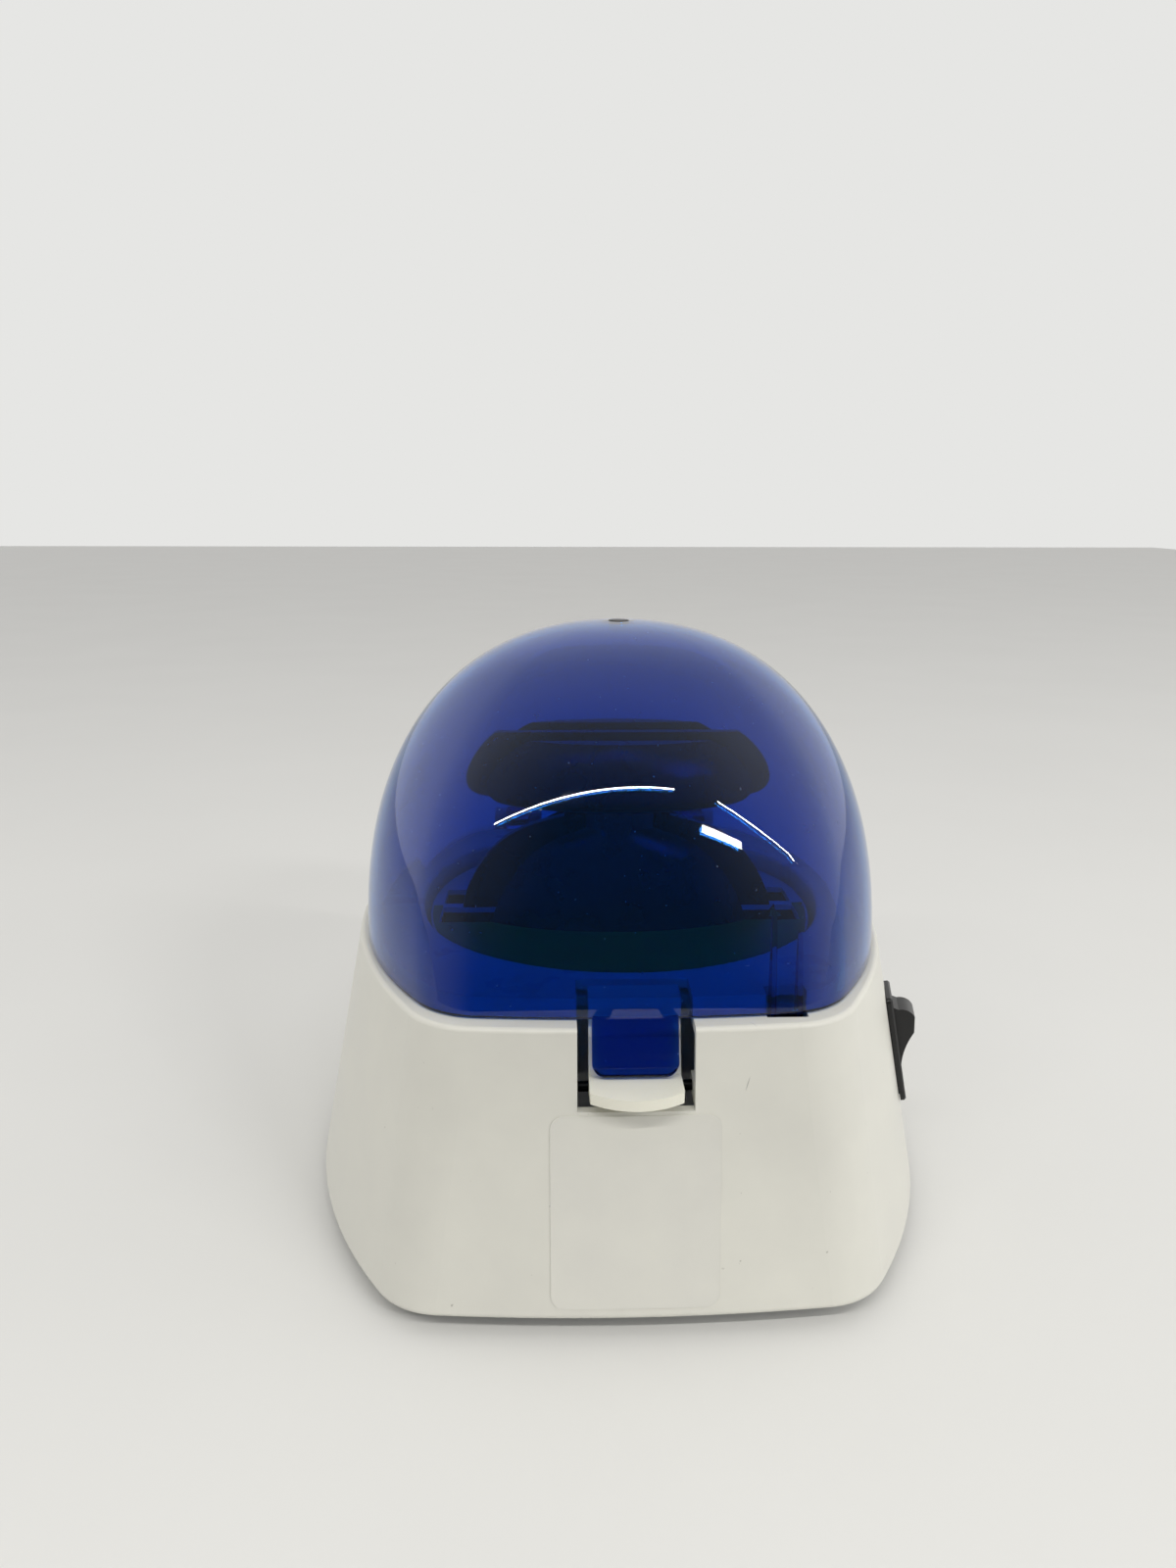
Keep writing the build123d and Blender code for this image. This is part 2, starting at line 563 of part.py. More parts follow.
def make_rotor():
    bucket_half = POCKET_HALF + BUCKET_T
    bucket_out = POCKET_OUT + BUCKET_T
    with BuildPart() as bucket:
        with BuildSketch(Plane.XY.offset(BUCKET_BOTTOM)):
            with Locations((0, AXIS_Y)):
                RectangleRounded(2 * bucket_half, 2 * bucket_out, 2 * BUCKET_T)
        extrude(amount=FLANGE_Z - FLANGE_T - BUCKET_BOTTOM)
        add(pocket_sketch(PLATE_FLOOR_Z))
        extrude(amount=FLANGE_Z - FLANGE_T - PLATE_FLOOR_Z, mode=Mode.SUBTRACT)
    save(bucket, "rotor_bucket")

    with BuildPart() as flange:
        with BuildSketch(Plane.XY.offset(FLANGE_Z - FLANGE_T)):
            with Locations((0, AXIS_Y)):
                Circle(FLANGE_R)
        extrude(amount=FLANGE_T)
        add(pocket_sketch(FLANGE_Z - FLANGE_T))
        extrude(amount=FLANGE_T, mode=Mode.SUBTRACT)
    save(flange, "rotor_flange")

    with BuildPart() as form:
        loft(sections=ellipses(MOUND))
        neck_start = MOUND[-1][2]
        with BuildSketch(Plane.XY.offset(FLANGE_Z + neck_start)):
            with Locations((0, AXIS_Y)):
                Ellipse(NECK_X, NECK_Y)
        extrude(amount=NECK_TOP - neck_start)
        loft(sections=ellipses(CAP))
    reach = 2 * FLANGE_R
    with BuildPart() as web:
        add(form.part)
        with Locations((0, AXIS_Y, 0)):
            Box(reach, WEB_T, 2 * HEIGHT, mode=Mode.INTERSECT)
    save(web, "rotor_web")
    for side, name in ((-1, "rotor_guard_front"), (1, "rotor_guard_rear")):
        with BuildPart() as guard:
            add(form.part)
            with Locations((0, AXIS_Y + side * (POCKET_OUT + reach / 2), 0)):
                Box(reach, reach, 2 * HEIGHT, mode=Mode.INTERSECT)
        save(guard, name)

    with BuildPart() as label:
        with BuildSketch(Plane.XY.offset(FLANGE_Z)):
            with Locations((0, AXIS_Y)):
                Circle(FLANGE_R - 1)
            with Locations((0, AXIS_Y + reach / 2)):
                Rectangle(reach, reach, mode=Mode.SUBTRACT)
            with Locations((0, AXIS_Y)):
                Ellipse(MOUND[0][0] + FIT, MOUND[0][1] + FIT, mode=Mode.SUBTRACT)
            with Locations((0, AXIS_Y)):
                Rectangle(2 * POCKET_HALF + 2 * FIT, 2 * POCKET_OUT + 2 * FIT, mode=Mode.SUBTRACT)
        extrude(amount=ROTOR_LABEL_T)
    save(label, "rotor_label")

    with BuildPart() as hub:
        with Locations((0, AXIS_Y, HUB_BOTTOM)):
            Cylinder(HUB_R, BUCKET_BOTTOM - HUB_BOTTOM, align=LOW)
            Cylinder(SHAFT_R, BUCKET_BOTTOM - HUB_BOTTOM, align=LOW, mode=Mode.SUBTRACT)
        chamfer(hub.edges().filter_by(GeomType.CIRCLE).group_by(Axis.Z)[0].sort_by(SortBy.RADIUS)[-1], 1)
    save(hub, "rotor_hub")

    with BuildPart() as shaft:
        with Locations((0, AXIS_Y, MOTOR_BOTTOM + WALL + FIT)):
            Cylinder(SHAFT_R, BUCKET_BOTTOM - MOTOR_BOTTOM - WALL - FIT, align=LOW)
    save(shaft, "motor_shaft")


def make_lid():
    with BuildPart() as lid_dome:
        loft(sections=lid_sections(0))
        loft(sections=lid_sections(LID_WALL), mode=Mode.SUBTRACT)
        with Locations((0, AXIS_Y, DOME_TOP)):
            Cylinder(PLUG_R, 4 * LID_WALL, mode=Mode.SUBTRACT)
    with BuildPart() as inside:
        loft(sections=lid_sections(LID_WALL / 2))
        with BuildSketch(Plane.XY.offset(PRONG_BOTTOM)):
            with Locations((PRONG_X, AXIS_Y)):
                Rectangle(2 * PRONG_W, 2 * (AXIS_Y - LID_FRONT - LID_WALL))
        extrude(amount=LID_BASE - PRONG_BOTTOM + FIT)
    with BuildPart() as prong:
        outer = LID_FRONT
        with BuildSketch(Plane.XY.offset(PRONG_BOTTOM)):
            with Locations((PRONG_X, (outer + PRONG_INNER_Y) / 2)):
                Rectangle(PRONG_W, PRONG_INNER_Y - outer)
            with Locations((PRONG_X, PRONG_INNER_Y)):
                groove = PRONG_INNER_Y - (LID_FRONT + LID_WALL + PRONG_WEB)
                Rectangle(PRONG_W - 2 * PRONG_RIB, 2 * groove - 4 * PRONG_WEB, mode=Mode.SUBTRACT)
        extrude(amount=DOME_TOP - PRONG_BOTTOM)
        add(inside.part, mode=Mode.INTERSECT)
    with BuildPart() as tab:
        with BuildSketch(Plane.YZ.offset(-TAB_HALF)):
            with BuildLine():
                low = tab_face(TAB_BOTTOM)
                ridge_low = TAB_BOTTOM + RIDGE_LOW
                ridge_high = ridge_low + RIDGE_H
                Polyline(
                    (LID_FRONT, LID_BASE + 2),
                    (LID_FRONT, LID_BASE),
                    (low, TAB_BOTTOM),
                    (low + TAB_T, TAB_BOTTOM),
                    (tab_face(ridge_low) + TAB_T, ridge_low),
                    (tab_face(ridge_low) + TAB_T + CATCH_H, ridge_low + CATCH_H),
                    (tab_face(ridge_high) + TAB_T + CATCH_H, ridge_high),
                    (tab_face(ridge_high) + TAB_T, ridge_high),
                    (LID_FRONT + TAB_T, LID_BASE),
                    (LID_FRONT + TAB_T, LID_BASE + 2),
                    close=True,
                )
            make_face()
        extrude(amount=2 * TAB_HALF)
        corners = tab.edges().filter_by(Axis.Y).group_by(Axis.Z)[0]
        fillet(corners, TAB_CORNER)
    with BuildPart() as lid:
        add(lid_dome.part)
        add(prong.part)
        add(tab.part)
        for side in (-1, 1):
            start = side * HINGE_X - ARM_W / 2
            with BuildSketch(Plane.YZ.offset(start)):
                with Locations((HINGE_Y, HINGE_Z)):
                    Circle(BARREL_R)
                reach = HINGE_Y - LID_REAR + LID_WALL
                with Locations((HINGE_Y - reach / 2, HINGE_Z)):
                    Rectangle(reach, 2 * BARREL_R - 2)
                with Locations((HINGE_Y, HINGE_Z)):
                    Circle(PIN_R + PIN_RUN, mode=Mode.SUBTRACT)
            extrude(amount=ARM_W)
    save(lid, "lid_dome")

    with BuildPart() as plug:
        with Locations((0, AXIS_Y, HEIGHT - PLUG_DEPTH)):
            Cylinder(PLUG_R, PLUG_DEPTH, align=LOW)
    save(plug, "lid_plug")

    with BuildPart() as pins:
        span = ARM_W + 2 * LUG_W + 2 * FIT
        with Locations(*[(s * HINGE_X, HINGE_Y, HINGE_Z) for s in (-1, 1)]):
            Cylinder(PIN_R, span, rotation=(0, 90, 0))
    save(pins, "hinge_pins")


def make_latch():
    """Tongue with a finger ledge; it turns on a pin low in the notch."""
    with BuildPart() as tongue:
        top = DECK_Z
        pad = DECK_Z - DECK_T
        foot = LATCH_PIN_Z - LATCH_BARREL_R
        hook_low = TAB_BOTTOM + HOOK_LOW
        with BuildSketch(Plane.YZ.offset(-TONGUE_HALF)):
            with BuildLine():
                Polyline(
                    (tongue_face(foot + FIT), LATCH_PIN_Z),
                    (tongue_face(hook_low), hook_low),
                    (tongue_face(hook_low) - CATCH_H, hook_low),
                    (tongue_face(hook_low + HOOK_H), hook_low + HOOK_H),
                    (tongue_face(LID_BASE), LID_BASE),
                    (tongue_face(LID_BASE), top),
                    (TONGUE_PAD_REAR, top),
                    (TONGUE_PAD_REAR, pad),
                    (tongue_face(LID_BASE) + TONGUE_T, pad),
                    (tongue_face(LID_BASE) + TONGUE_T, LID_BASE),
                    (tongue_face(LATCH_PIN_Z) + TONGUE_T, LATCH_PIN_Z),
                    close=True,
                )
            make_face()
            with Locations((LATCH_PIN_Y, LATCH_PIN_Z)):
                Circle(LATCH_BARREL_R)
        extrude(amount=2 * TONGUE_HALF)
        with BuildSketch(Plane.XY.offset(LEDGE_Z - LEDGE_T)):
            depth = LATCH_PIN_Y + BASE_HALF_D
            with Locations((0, -BASE_HALF_D + depth / 2)):
                Rectangle(2 * TONGUE_HALF, depth)
        extrude(amount=LEDGE_T)
        tips = tongue.edges().filter_by(Axis.Z).group_by(Axis.Y)[0]
        fillet(tips, LEDGE_CORNER)
        with Locations((0, LATCH_PIN_Y, LATCH_PIN_Z)):
            Cylinder(LATCH_PIN_R + PIN_RUN, 4 * TONGUE_HALF, rotation=(0, 90, 0), mode=Mode.SUBTRACT)
    save(tongue, "latch_tongue")

    with BuildPart() as latch_pin:
        with Locations((0, LATCH_PIN_Y, LATCH_PIN_Z)):
            Cylinder(LATCH_PIN_R, 2 * (NOTCH_HALF + WALL), rotation=(0, 90, 0))
    save(latch_pin, "latch_pin")


def make_interlock():
    switch_y = (LID_FRONT + LID_WALL + PRONG_INNER_Y) / 2
    button_top = PRONG_BOTTOM - LID_GAP
    switch_top = button_top - 2 * BUTTON_STROKE - 2 * FIT
    switch_bottom = switch_top - SWITCH_H
    with BuildPart() as body:
        with Locations((PRONG_X, switch_y, switch_top - SWITCH_H / 2)):
            Box(SWITCH_L, SWITCH_W, SWITCH_H)
        with Locations((PRONG_X, switch_y, switch_top)):
            Box(BUTTON_W + FIT, BUTTON_W + FIT, SWITCH_H, mode=Mode.SUBTRACT)
    save(body, "interlock_switch")

    with BuildPart() as button:
        with Locations((PRONG_X, switch_y, button_top)):
            Box(BUTTON_W, BUTTON_W, button_top - switch_top + BUTTON_STROKE, align=HIGH)
    save(button, "interlock_button")

    with BuildPart() as cradle:
        width = SWITCH_L + 2 * CRADLE_T
        with Locations((PRONG_X, switch_y, switch_bottom - CRADLE_T)):
            Box(width, SWITCH_W, SHELF_Z - switch_bottom + CRADLE_T, align=LOW)
        with Locations((PRONG_X, switch_y, switch_bottom)):
            Box(SWITCH_L, SWITCH_W, HEIGHT, align=LOW, mode=Mode.SUBTRACT)
    save(cradle, "interlock_cradle")


def make_rocker():
    with BuildPart() as bezel:
        with BuildSketch(WALL_PLANE.offset(-FIT)):
            RectangleRounded(BEZEL_W, BEZEL_L, BEZEL_CORNER)
            Rectangle(CAVITY_W, CAVITY_L, mode=Mode.SUBTRACT)
        extrude(amount=BEZEL_T + FIT)
        front = bezel.faces().sort_by(Axis(ROCKER_AT, ROCKER_NORMAL))[-1]
        chamfer(front.outer_wire().edges(), BEZEL_EDGE)
    save(bezel, "switch_bezel")

    with BuildPart() as can:
        with BuildSketch(WALL_PLANE.offset(-CAN_DEPTH)):
            Rectangle(CAN_W, CAN_L)
        extrude(amount=CAN_DEPTH - FIT)
        with BuildSketch(WALL_PLANE.offset(-CAVITY_DEPTH)):
            Rectangle(CAVITY_W, CAVITY_L)
        extrude(amount=CAVITY_DEPTH, mode=Mode.SUBTRACT)
        with BuildSketch(SIDE_PLANE.offset(-CAN_W / 2)):
            with Locations((0, -ROCKER_PIVOT)):
                Circle(ROCKER_PIN_R)
        extrude(amount=CAN_W, mode=Mode.SUBTRACT)
    save(can, "switch_can")

    half_w = CAVITY_W / 2 - ROCKER_GAP
    end = CAVITY_L / 2 - ROCKER_GAP
    with BuildPart() as rocker:
        with BuildSketch(SIDE_PLANE.offset(-half_w)):
            with BuildLine():
                low = (-end, -ROCKER_SINK)
                lip = (-end + ROCKER_LIP[0], ROCKER_LIP[1])
                high = (end, -ROCKER_SINK)
                keel = -ROCKER_PIVOT - ROCKER_KEEL
                Line(low, lip)
                Spline(lip, ROCKER_DISH, ROCKER_CREST[0])
                Line(ROCKER_CREST[0], ROCKER_CREST[1])
                ThreePointArc(*ROCKER_CREST[1:])
                Line(ROCKER_CREST[-1], high)
                Polyline(high, (ROCKER_KEEL_HALF, keel), (-ROCKER_KEEL_HALF, keel), low)
            make_face()
        extrude(amount=2 * half_w)
        with BuildSketch(SIDE_PLANE.offset(-half_w)):
            with Locations((0, -ROCKER_PIVOT)):
                Circle(ROCKER_PIN_R + PIN_RUN)
        extrude(amount=2 * half_w, mode=Mode.SUBTRACT)
    save(rocker, "power_rocker")

    with BuildPart() as pin:
        with BuildSketch(SIDE_PLANE.offset(-CAN_W / 2)):
            with Locations((0, -ROCKER_PIVOT)):
                Circle(ROCKER_PIN_R)
        extrude(amount=CAN_W)
    save(pin, "rocker_pin")


def make_electronics():
    board_z = PLATE_TOP + BOARD_LIFT
    with BuildPart() as posts:
        with Locations((BOARD_X, AXIS_Y, PLATE_TOP)):
            with GridLocations(BOARD_L - 3 * POST_R, BOARD_D - 3 * POST_R, 2, 2):
                Cylinder(POST_R, BOARD_LIFT, align=LOW)
    save(posts, "board_posts")
    with BuildPart() as board:
        with Locations((BOARD_X, AXIS_Y, board_z)):
            Box(BOARD_L, BOARD_D, BOARD_T, align=LOW)
    save(board, "control_board")
    top = board_z + BOARD_T
    with BuildPart() as parts:
        with Locations(*[(BOARD_X + x, AXIS_Y + CAP_Y, top) for x in CAP_XS]):
            Cylinder(CAP_R, CAP_H, align=LOW)
        with Locations((BOARD_X, AXIS_Y + RELAY_Y, top)):
            Box(*RELAY, align=LOW)
        with Locations((BOARD_X, AXIS_Y + TERMINAL_Y, top)):
            Box(*TERMINAL, align=LOW)
    save(parts, "board_parts")

    inlet_wall = rear_wall_at(INLET_X, INLET_Z)
    with BuildPart() as inlet:
        with BuildSketch(Plane.XZ.offset(-(inlet_wall - INLET_DEPTH))):
            with Locations((INLET_X, INLET_Z)):
                Circle(INLET_R - FIT / 2)
        extrude(amount=-INLET_DEPTH)
        with BuildSketch(Plane.XZ.offset(-(inlet_wall - INLET_SEAT))):
            with Locations((INLET_X, INLET_Z)):
                Circle(INLET_FLANGE_R)
        extrude(amount=-(INLET_SEAT + INLET_PROUD))
        fillet(inlet.edges().filter_by(GeomType.CIRCLE).sort_by(Axis.Y)[-1], INLET_PROUD / 2)
        with BuildSketch(Plane.XZ.offset(-(inlet_wall - INLET_DEPTH + INLET_FLOOR))):
            with Locations((INLET_X, INLET_Z)):
                Circle(INLET_BORE)
                Circle(INLET_PIN_R, mode=Mode.SUBTRACT)
        extrude(amount=-INLET_DEPTH, mode=Mode.SUBTRACT)
    save(inlet, "power_inlet")


def main():
    os.makedirs("parts", exist_ok=True)
    make_housing()
    make_chamber()
    make_base()
    make_front_label()
    make_motor()
    make_rotor()
    make_lid()
    make_latch()
    make_interlock()
    make_rocker()
    make_electronics()


main()
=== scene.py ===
# %% [markdown]
# # A bench-top plate centrifuge, dressed for the camera
#
# The machine is a small spinner for two microplates: a white flared housing, a clear blue
# domed lid, a black rotor inside it, a latch tongue at the front and a rocker switch in the
# right wall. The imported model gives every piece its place. This script adds the finishes, the
# lights and the camera, and it makes two pieces anew whose fine shape the solids leave out:
# the lid, with all that is moulded onto it, and the latch tongue with its curved thumb lip.

# %% Load the frame
import math

import bmesh
import bpy
import numpy as np
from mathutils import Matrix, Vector


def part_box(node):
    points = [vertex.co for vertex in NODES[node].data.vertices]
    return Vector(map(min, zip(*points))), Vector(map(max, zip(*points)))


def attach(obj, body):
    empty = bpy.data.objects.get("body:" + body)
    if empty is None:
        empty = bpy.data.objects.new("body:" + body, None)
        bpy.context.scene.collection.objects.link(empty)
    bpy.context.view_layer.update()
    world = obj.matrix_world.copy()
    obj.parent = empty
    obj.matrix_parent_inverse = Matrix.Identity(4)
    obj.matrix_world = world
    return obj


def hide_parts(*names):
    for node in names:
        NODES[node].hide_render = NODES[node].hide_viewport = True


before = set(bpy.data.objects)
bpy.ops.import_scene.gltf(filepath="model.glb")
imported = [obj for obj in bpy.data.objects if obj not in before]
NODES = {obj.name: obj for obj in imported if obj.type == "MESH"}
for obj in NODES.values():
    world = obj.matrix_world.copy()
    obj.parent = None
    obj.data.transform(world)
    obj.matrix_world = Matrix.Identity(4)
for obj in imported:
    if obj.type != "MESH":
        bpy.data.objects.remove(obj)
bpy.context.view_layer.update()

# %% [markdown]
# Blender works in metres, and a maker thinks in millimetres. One constant turns one into the
# other. Colours are written as the hex values that a colour picker shows, which are encoded for
# a screen, while a shader wants light in linear steps. One function does that sum.

# %% Units and colours
MM = 0.001


def linear(hex_code, alpha=1.0):
    """The linear RGBA of an sRGB hex colour."""
    channels = [int(hex_code[i : i + 2], 16) / 255 for i in (1, 3, 5)]
    curve = [c / 12.92 if c <= 0.04045 else ((c + 0.055) / 1.055) ** 2.4 for c in channels]
    return (*curve, alpha)


print("mid grey in linear light:", round(linear("#808080")[0], 3))

# %% [markdown]
# A material is a small graph of nodes, and so is the room's glow. Adding a node, setting its
# values and wiring its inputs are always the same three moves, so one function makes all three
# and every graph below is written with it. A new material starts as an empty graph that holds
# a Principled shader and its output.


# %% The node helper
def add_node(owner, kind, settings=None, links=None):
    """Adds a node to a material or world. Settings fill options and sockets, links feed sockets."""
    tree = owner.node_tree
    node = tree.nodes.new(kind)
    for key, value in (settings or {}).items():
        if isinstance(key, str) and hasattr(node, key) and key not in node.inputs:
            setattr(node, key, value)
        else:
            node.inputs[key].default_value = value
    for key, source in (links or {}).items():
        tree.links.new(source, node.inputs[key])
    return node


def new_material(name, shader_settings):
    """A material that holds one Principled shader, wired to the output."""
    material = bpy.data.materials.new(name)
    material.use_nodes = True
    material.node_tree.nodes.clear()
    shader = add_node(material, "ShaderNodeBsdfPrincipled", shader_settings)
    add_node(material, "ShaderNodeOutputMaterial", links={"Surface": shader.outputs["BSDF"]})
    return material, shader


def wire(material, source, target):
    """Joins an output of one node to an input of another that is already there."""
    material.node_tree.links.new(source, target)


print("node helper ready")

# %% [markdown]
# ## The camera
#
# The machine is seen from a little above its lid and less than a third of a metre in front of
# it, with a short lens, so its nearer edges are large. The camera's place, tilt and turn are
# plain numbers in the machine's own frame, and the lens is a focal length on a 36 mm sensor.
# The Standard view shows colours as they are mixed, with no film curve over them.

# %% Camera
CAMERA_PLACE = (-23.7 * MM, -393.1 * MM, 236.9 * MM)
CAMERA_TILT = 75.79  # degrees; 90 would look level
CAMERA_ROLL = -0.15
CAMERA_TURN = -1.91
LENS = 26.0
SENSOR = 36.0

camera_data = bpy.data.cameras.new("camera")
camera_data.lens = LENS
camera_data.sensor_fit = "VERTICAL"
camera_data.sensor_height = SENSOR
camera_data.clip_start = 10 * MM
camera = bpy.data.objects.new("camera", camera_data)
camera.location = CAMERA_PLACE
camera.rotation_euler = [math.radians(a) for a in (CAMERA_TILT, CAMERA_ROLL, CAMERA_TURN)]
bpy.context.scene.collection.objects.link(camera)
bpy.context.scene.camera = camera
bpy.context.scene.view_settings.view_transform = "Standard"
print("camera", [round(v, 3) for v in camera.location])

# %% [markdown]
# ## White moulded ABS
#
# The housing is injection-moulded ABS in a warm white. ABS has an index of refraction of about
# 1.54. One soft noise, with clouds a few centimetres wide, makes the white wander by a few
# steps, and it also drives the gloss, because handling leaves some places duller than others.

# %% Housing plastic, its colour and gloss
MOTTLE_MM = 45.0
white_abs, shader = new_material("white_abs_moulded", {"IOR": 1.54})
coords = add_node(white_abs, "ShaderNodeTexCoord")
mottle = add_node(
    white_abs,
    "ShaderNodeTexNoise",
    {"Scale": 1 / (MOTTLE_MM * MM), "Detail": 4.0, "Roughness": 0.6},
    {"Vector": coords.outputs["Object"]},
)
tone = add_node(white_abs, "ShaderNodeValToRGB", links={"Fac": mottle.outputs["Fac"]})
tone.color_ramp.elements[0].position = 0.3
tone.color_ramp.elements[0].color = linear("#D9D8D0")
tone.color_ramp.elements[1].position = 0.7
tone.color_ramp.elements[1].color = linear("#E1E0D7")
marks = add_node(
    white_abs,
    "ShaderNodeMapRange",
    {"From Min": 0.35, "From Max": 0.65, "To Min": 0.30, "To Max": 0.44},
    {"Value": mottle.outputs["Fac"]},
)
wire(white_abs, marks.outputs["Result"], shader.inputs["Roughness"])
print("made", white_abs.name)

# %% [markdown]
# A bench collects dirt, and a white housing shows it as a few dark specks. They could be
# modelled one by one, but a noise does it with no geometry: its peaks stand two millimetres
# apart, and only the highest tips pass the mask, so few specks show and they are small. A Mix
# node keeps its colour sockets behind those for numbers and vectors, so they are named here.

# %% Specks on the housing
MIX_SHARE, MIX_FROM, MIX_TO = 0, 6, 7
MIX_RESULT = 2
SPECK_MM = 2.2
specks = add_node(
    white_abs,
    "ShaderNodeTexNoise",
    {"Scale": 1 / (SPECK_MM * MM), "Detail": 2.0},
    {"Vector": coords.outputs["Object"]},
)
speck_mask = add_node(
    white_abs,
    "ShaderNodeMapRange",
    {"From Min": 0.76, "From Max": 0.80, "To Min": 0.0, "To Max": 0.55},
    {"Value": specks.outputs["Fac"]},
)
speckled = add_node(
    white_abs,
    "ShaderNodeMix",
    {"data_type": "RGBA", MIX_TO: linear("#8C897F")},
    {MIX_SHARE: speck_mask.outputs["Result"], MIX_FROM: tone.outputs["Color"]},
)
print("specks from peaks", SPECK_MM, "mm apart")

# %% [markdown]
# Wear also leaves a few hairline scratches. Where a smooth noise crosses its middle value it
# draws a long line, nearly straight because the noise is wide. A second noise lets that line
# show in a few small patches only, so each scratch is a short one.

# %% Hairline scratches on the housing
SCRATCH_SWEEP_MM = 34.0
SCRATCH_PATCH_MM = 16.0
sweep = add_node(
    white_abs,
    "ShaderNodeTexNoise",
    {"Scale": 1 / (SCRATCH_SWEEP_MM * MM), "Detail": 0.0},
    {"Vector": coords.outputs["Object"]},
)
crossing = add_node(
    white_abs,
    "ShaderNodeMath",
    {"operation": "SUBTRACT", 1: 0.5},
    {0: sweep.outputs["Fac"]},
)
distance = add_node(white_abs, "ShaderNodeMath", {"operation": "ABSOLUTE"}, {0: crossing.outputs[0]})
hairline = add_node(
    white_abs,
    "ShaderNodeMapRange",
    {"From Min": 0.0012, "From Max": 0.0028, "To Min": 1.0, "To Max": 0.0},
    {"Value": distance.outputs[0]},
)
patch = add_node(
    white_abs,
    "ShaderNodeTexNoise",
    {"Scale": 1 / (SCRATCH_PATCH_MM * MM), "Detail": 1.0},
    {"Vector": coords.outputs["Object"]},
)
few = add_node(
    white_abs,
    "ShaderNodeMapRange",
    {"From Min": 0.72, "From Max": 0.76, "To Min": 0.0, "To Max": 0.6},
    {"Value": patch.outputs["Fac"]},
)
scratch_mask = add_node(
    white_abs,
    "ShaderNodeMath",
    {"operation": "MULTIPLY"},
    {0: hairline.outputs["Result"], 1: few.outputs["Result"]},
)
scratched = add_node(
    white_abs,
    "ShaderNodeMix",
    {"data_type": "RGBA", MIX_TO: linear("#6E6C66")},
    {MIX_SHARE: scratch_mask.outputs[0], MIX_FROM: speckled.outputs[MIX_RESULT]},
)
wire(white_abs, scratched.outputs[MIX_RESULT], shader.inputs["Base Color"])
print("scratches from a noise", SCRATCH_SWEEP_MM, "mm wide")

# %% [markdown]
# The housing's tool was spark-eroded, which leaves a fine grain that softens the gloss. A bump
# is enough for it, because the grain is far too shallow to change the outline.

# %% Moulded grain of the housing
GRAIN_MM = 0.6  # the real grain is about 0.3 mm, drawn twice as coarse so that it shows
grain = add_node(
    white_abs,
    "ShaderNodeTexNoise",
    {"Scale": 1 / (GRAIN_MM * MM), "Detail": 2.0},
    {"Vector": coords.outputs["Object"]},
)
grain_bump = add_node(
    white_abs,
    "ShaderNodeBump",
    {"Strength": 0.12, "Distance": 0.03 * MM},
    {"Height": grain.outputs["Fac"]},
)
wire(white_abs, grain_bump.outputs["Normal"], shader.inputs["Normal"])
print("grain drawn at", GRAIN_MM, "mm")

# %% [markdown]
# ## Clear blue acrylic
#
# The lid is moulded from acrylic dyed a deep blue. Light is filtered where it enters the wall
# and again where it leaves, so everything inside is seen through two passes of the dye and
# turns dark blue. The prong and the hinge arms are solid rather than a thin wall, so light
# takes a longer way through the dye there and they get a deeper blue. The tab gets the same
# deeper blue, and on the tab it is painted shade: the tab is no thicker than the wall, and its
# deeper blue stands in for the shade that the latch's slot casts on the tongue behind it.
# Acrylic bends light by 1.49. Wiping leaves hairline scuffs and dust, which only show in the
# gloss, so they go into the roughness and never into the colour.

# %% Lid plastic
SCUFF_MM = 30.0
DUST_MM = 1.6  # from peak to peak; only the tips show


def dyed_acrylic(name, hex_code):
    """Clear dyed acrylic with hairline scuffs and a little dust in its gloss."""
    material, shader = new_material(
        name, {"Base Color": linear(hex_code), "IOR": 1.49, "Transmission Weight": 1.0}
    )
    coords = add_node(material, "ShaderNodeTexCoord")
    scuffs = add_node(
        material,
        "ShaderNodeTexNoise",
        {"Scale": 1 / (SCUFF_MM * MM), "Detail": 6.0, "Roughness": 0.7},
        {"Vector": coords.outputs["Object"]},
    )
    scuff_rough = add_node(
        material,
        "ShaderNodeMapRange",
        {"From Min": 0.45, "From Max": 0.75, "To Min": 0.015, "To Max": 0.09},
        {"Value": scuffs.outputs["Fac"]},
    )
    dust = add_node(
        material,
        "ShaderNodeTexNoise",
        {"Scale": 1 / (DUST_MM * MM), "Detail": 1.0},
        {"Vector": coords.outputs["Object"]},
    )
    dust_rough = add_node(
        material,
        "ShaderNodeMapRange",
        {"From Min": 0.76, "From Max": 0.80, "To Min": 0.0, "To Max": 0.3},
        {"Value": dust.outputs["Fac"]},
    )
    roughness = add_node(
        material,
        "ShaderNodeMath",
        {"operation": "ADD"},
        {0: scuff_rough.outputs["Result"], 1: dust_rough.outputs["Result"]},
    )
    wire(material, roughness.outputs[0], shader.inputs["Roughness"])
    print("made", name)
    return material


blue_clear = dyed_acrylic("blue_acrylic_clear", "#1C6EC6")
# Deeper blue: a longer path through the dye in the prong and the arms, and painted shade on the tab.
blue_thick_and_shade = dyed_acrylic("blue_acrylic_thick_and_shade", "#1A52AE")

# %% [markdown]
# ## The plainer plastics, films, rubber and metals
#
# Each of these has one colour that wanders a little, a gloss that wanders with it and a fine
# grain. They differ only in their numbers, so one function makes them, and each call gives two
# colours, a roughness, the size of the grain in millimetres and how strongly it shows. Most
# plastics and films bend light by about 1.5, and a metal keeps the shader's own value.

# %% A plain finish in one call
CLOUD_MM = 18.0
RELIEF_MM = 0.05
GLOSS_LOW, GLOSS_HIGH = 0.85, 1.15


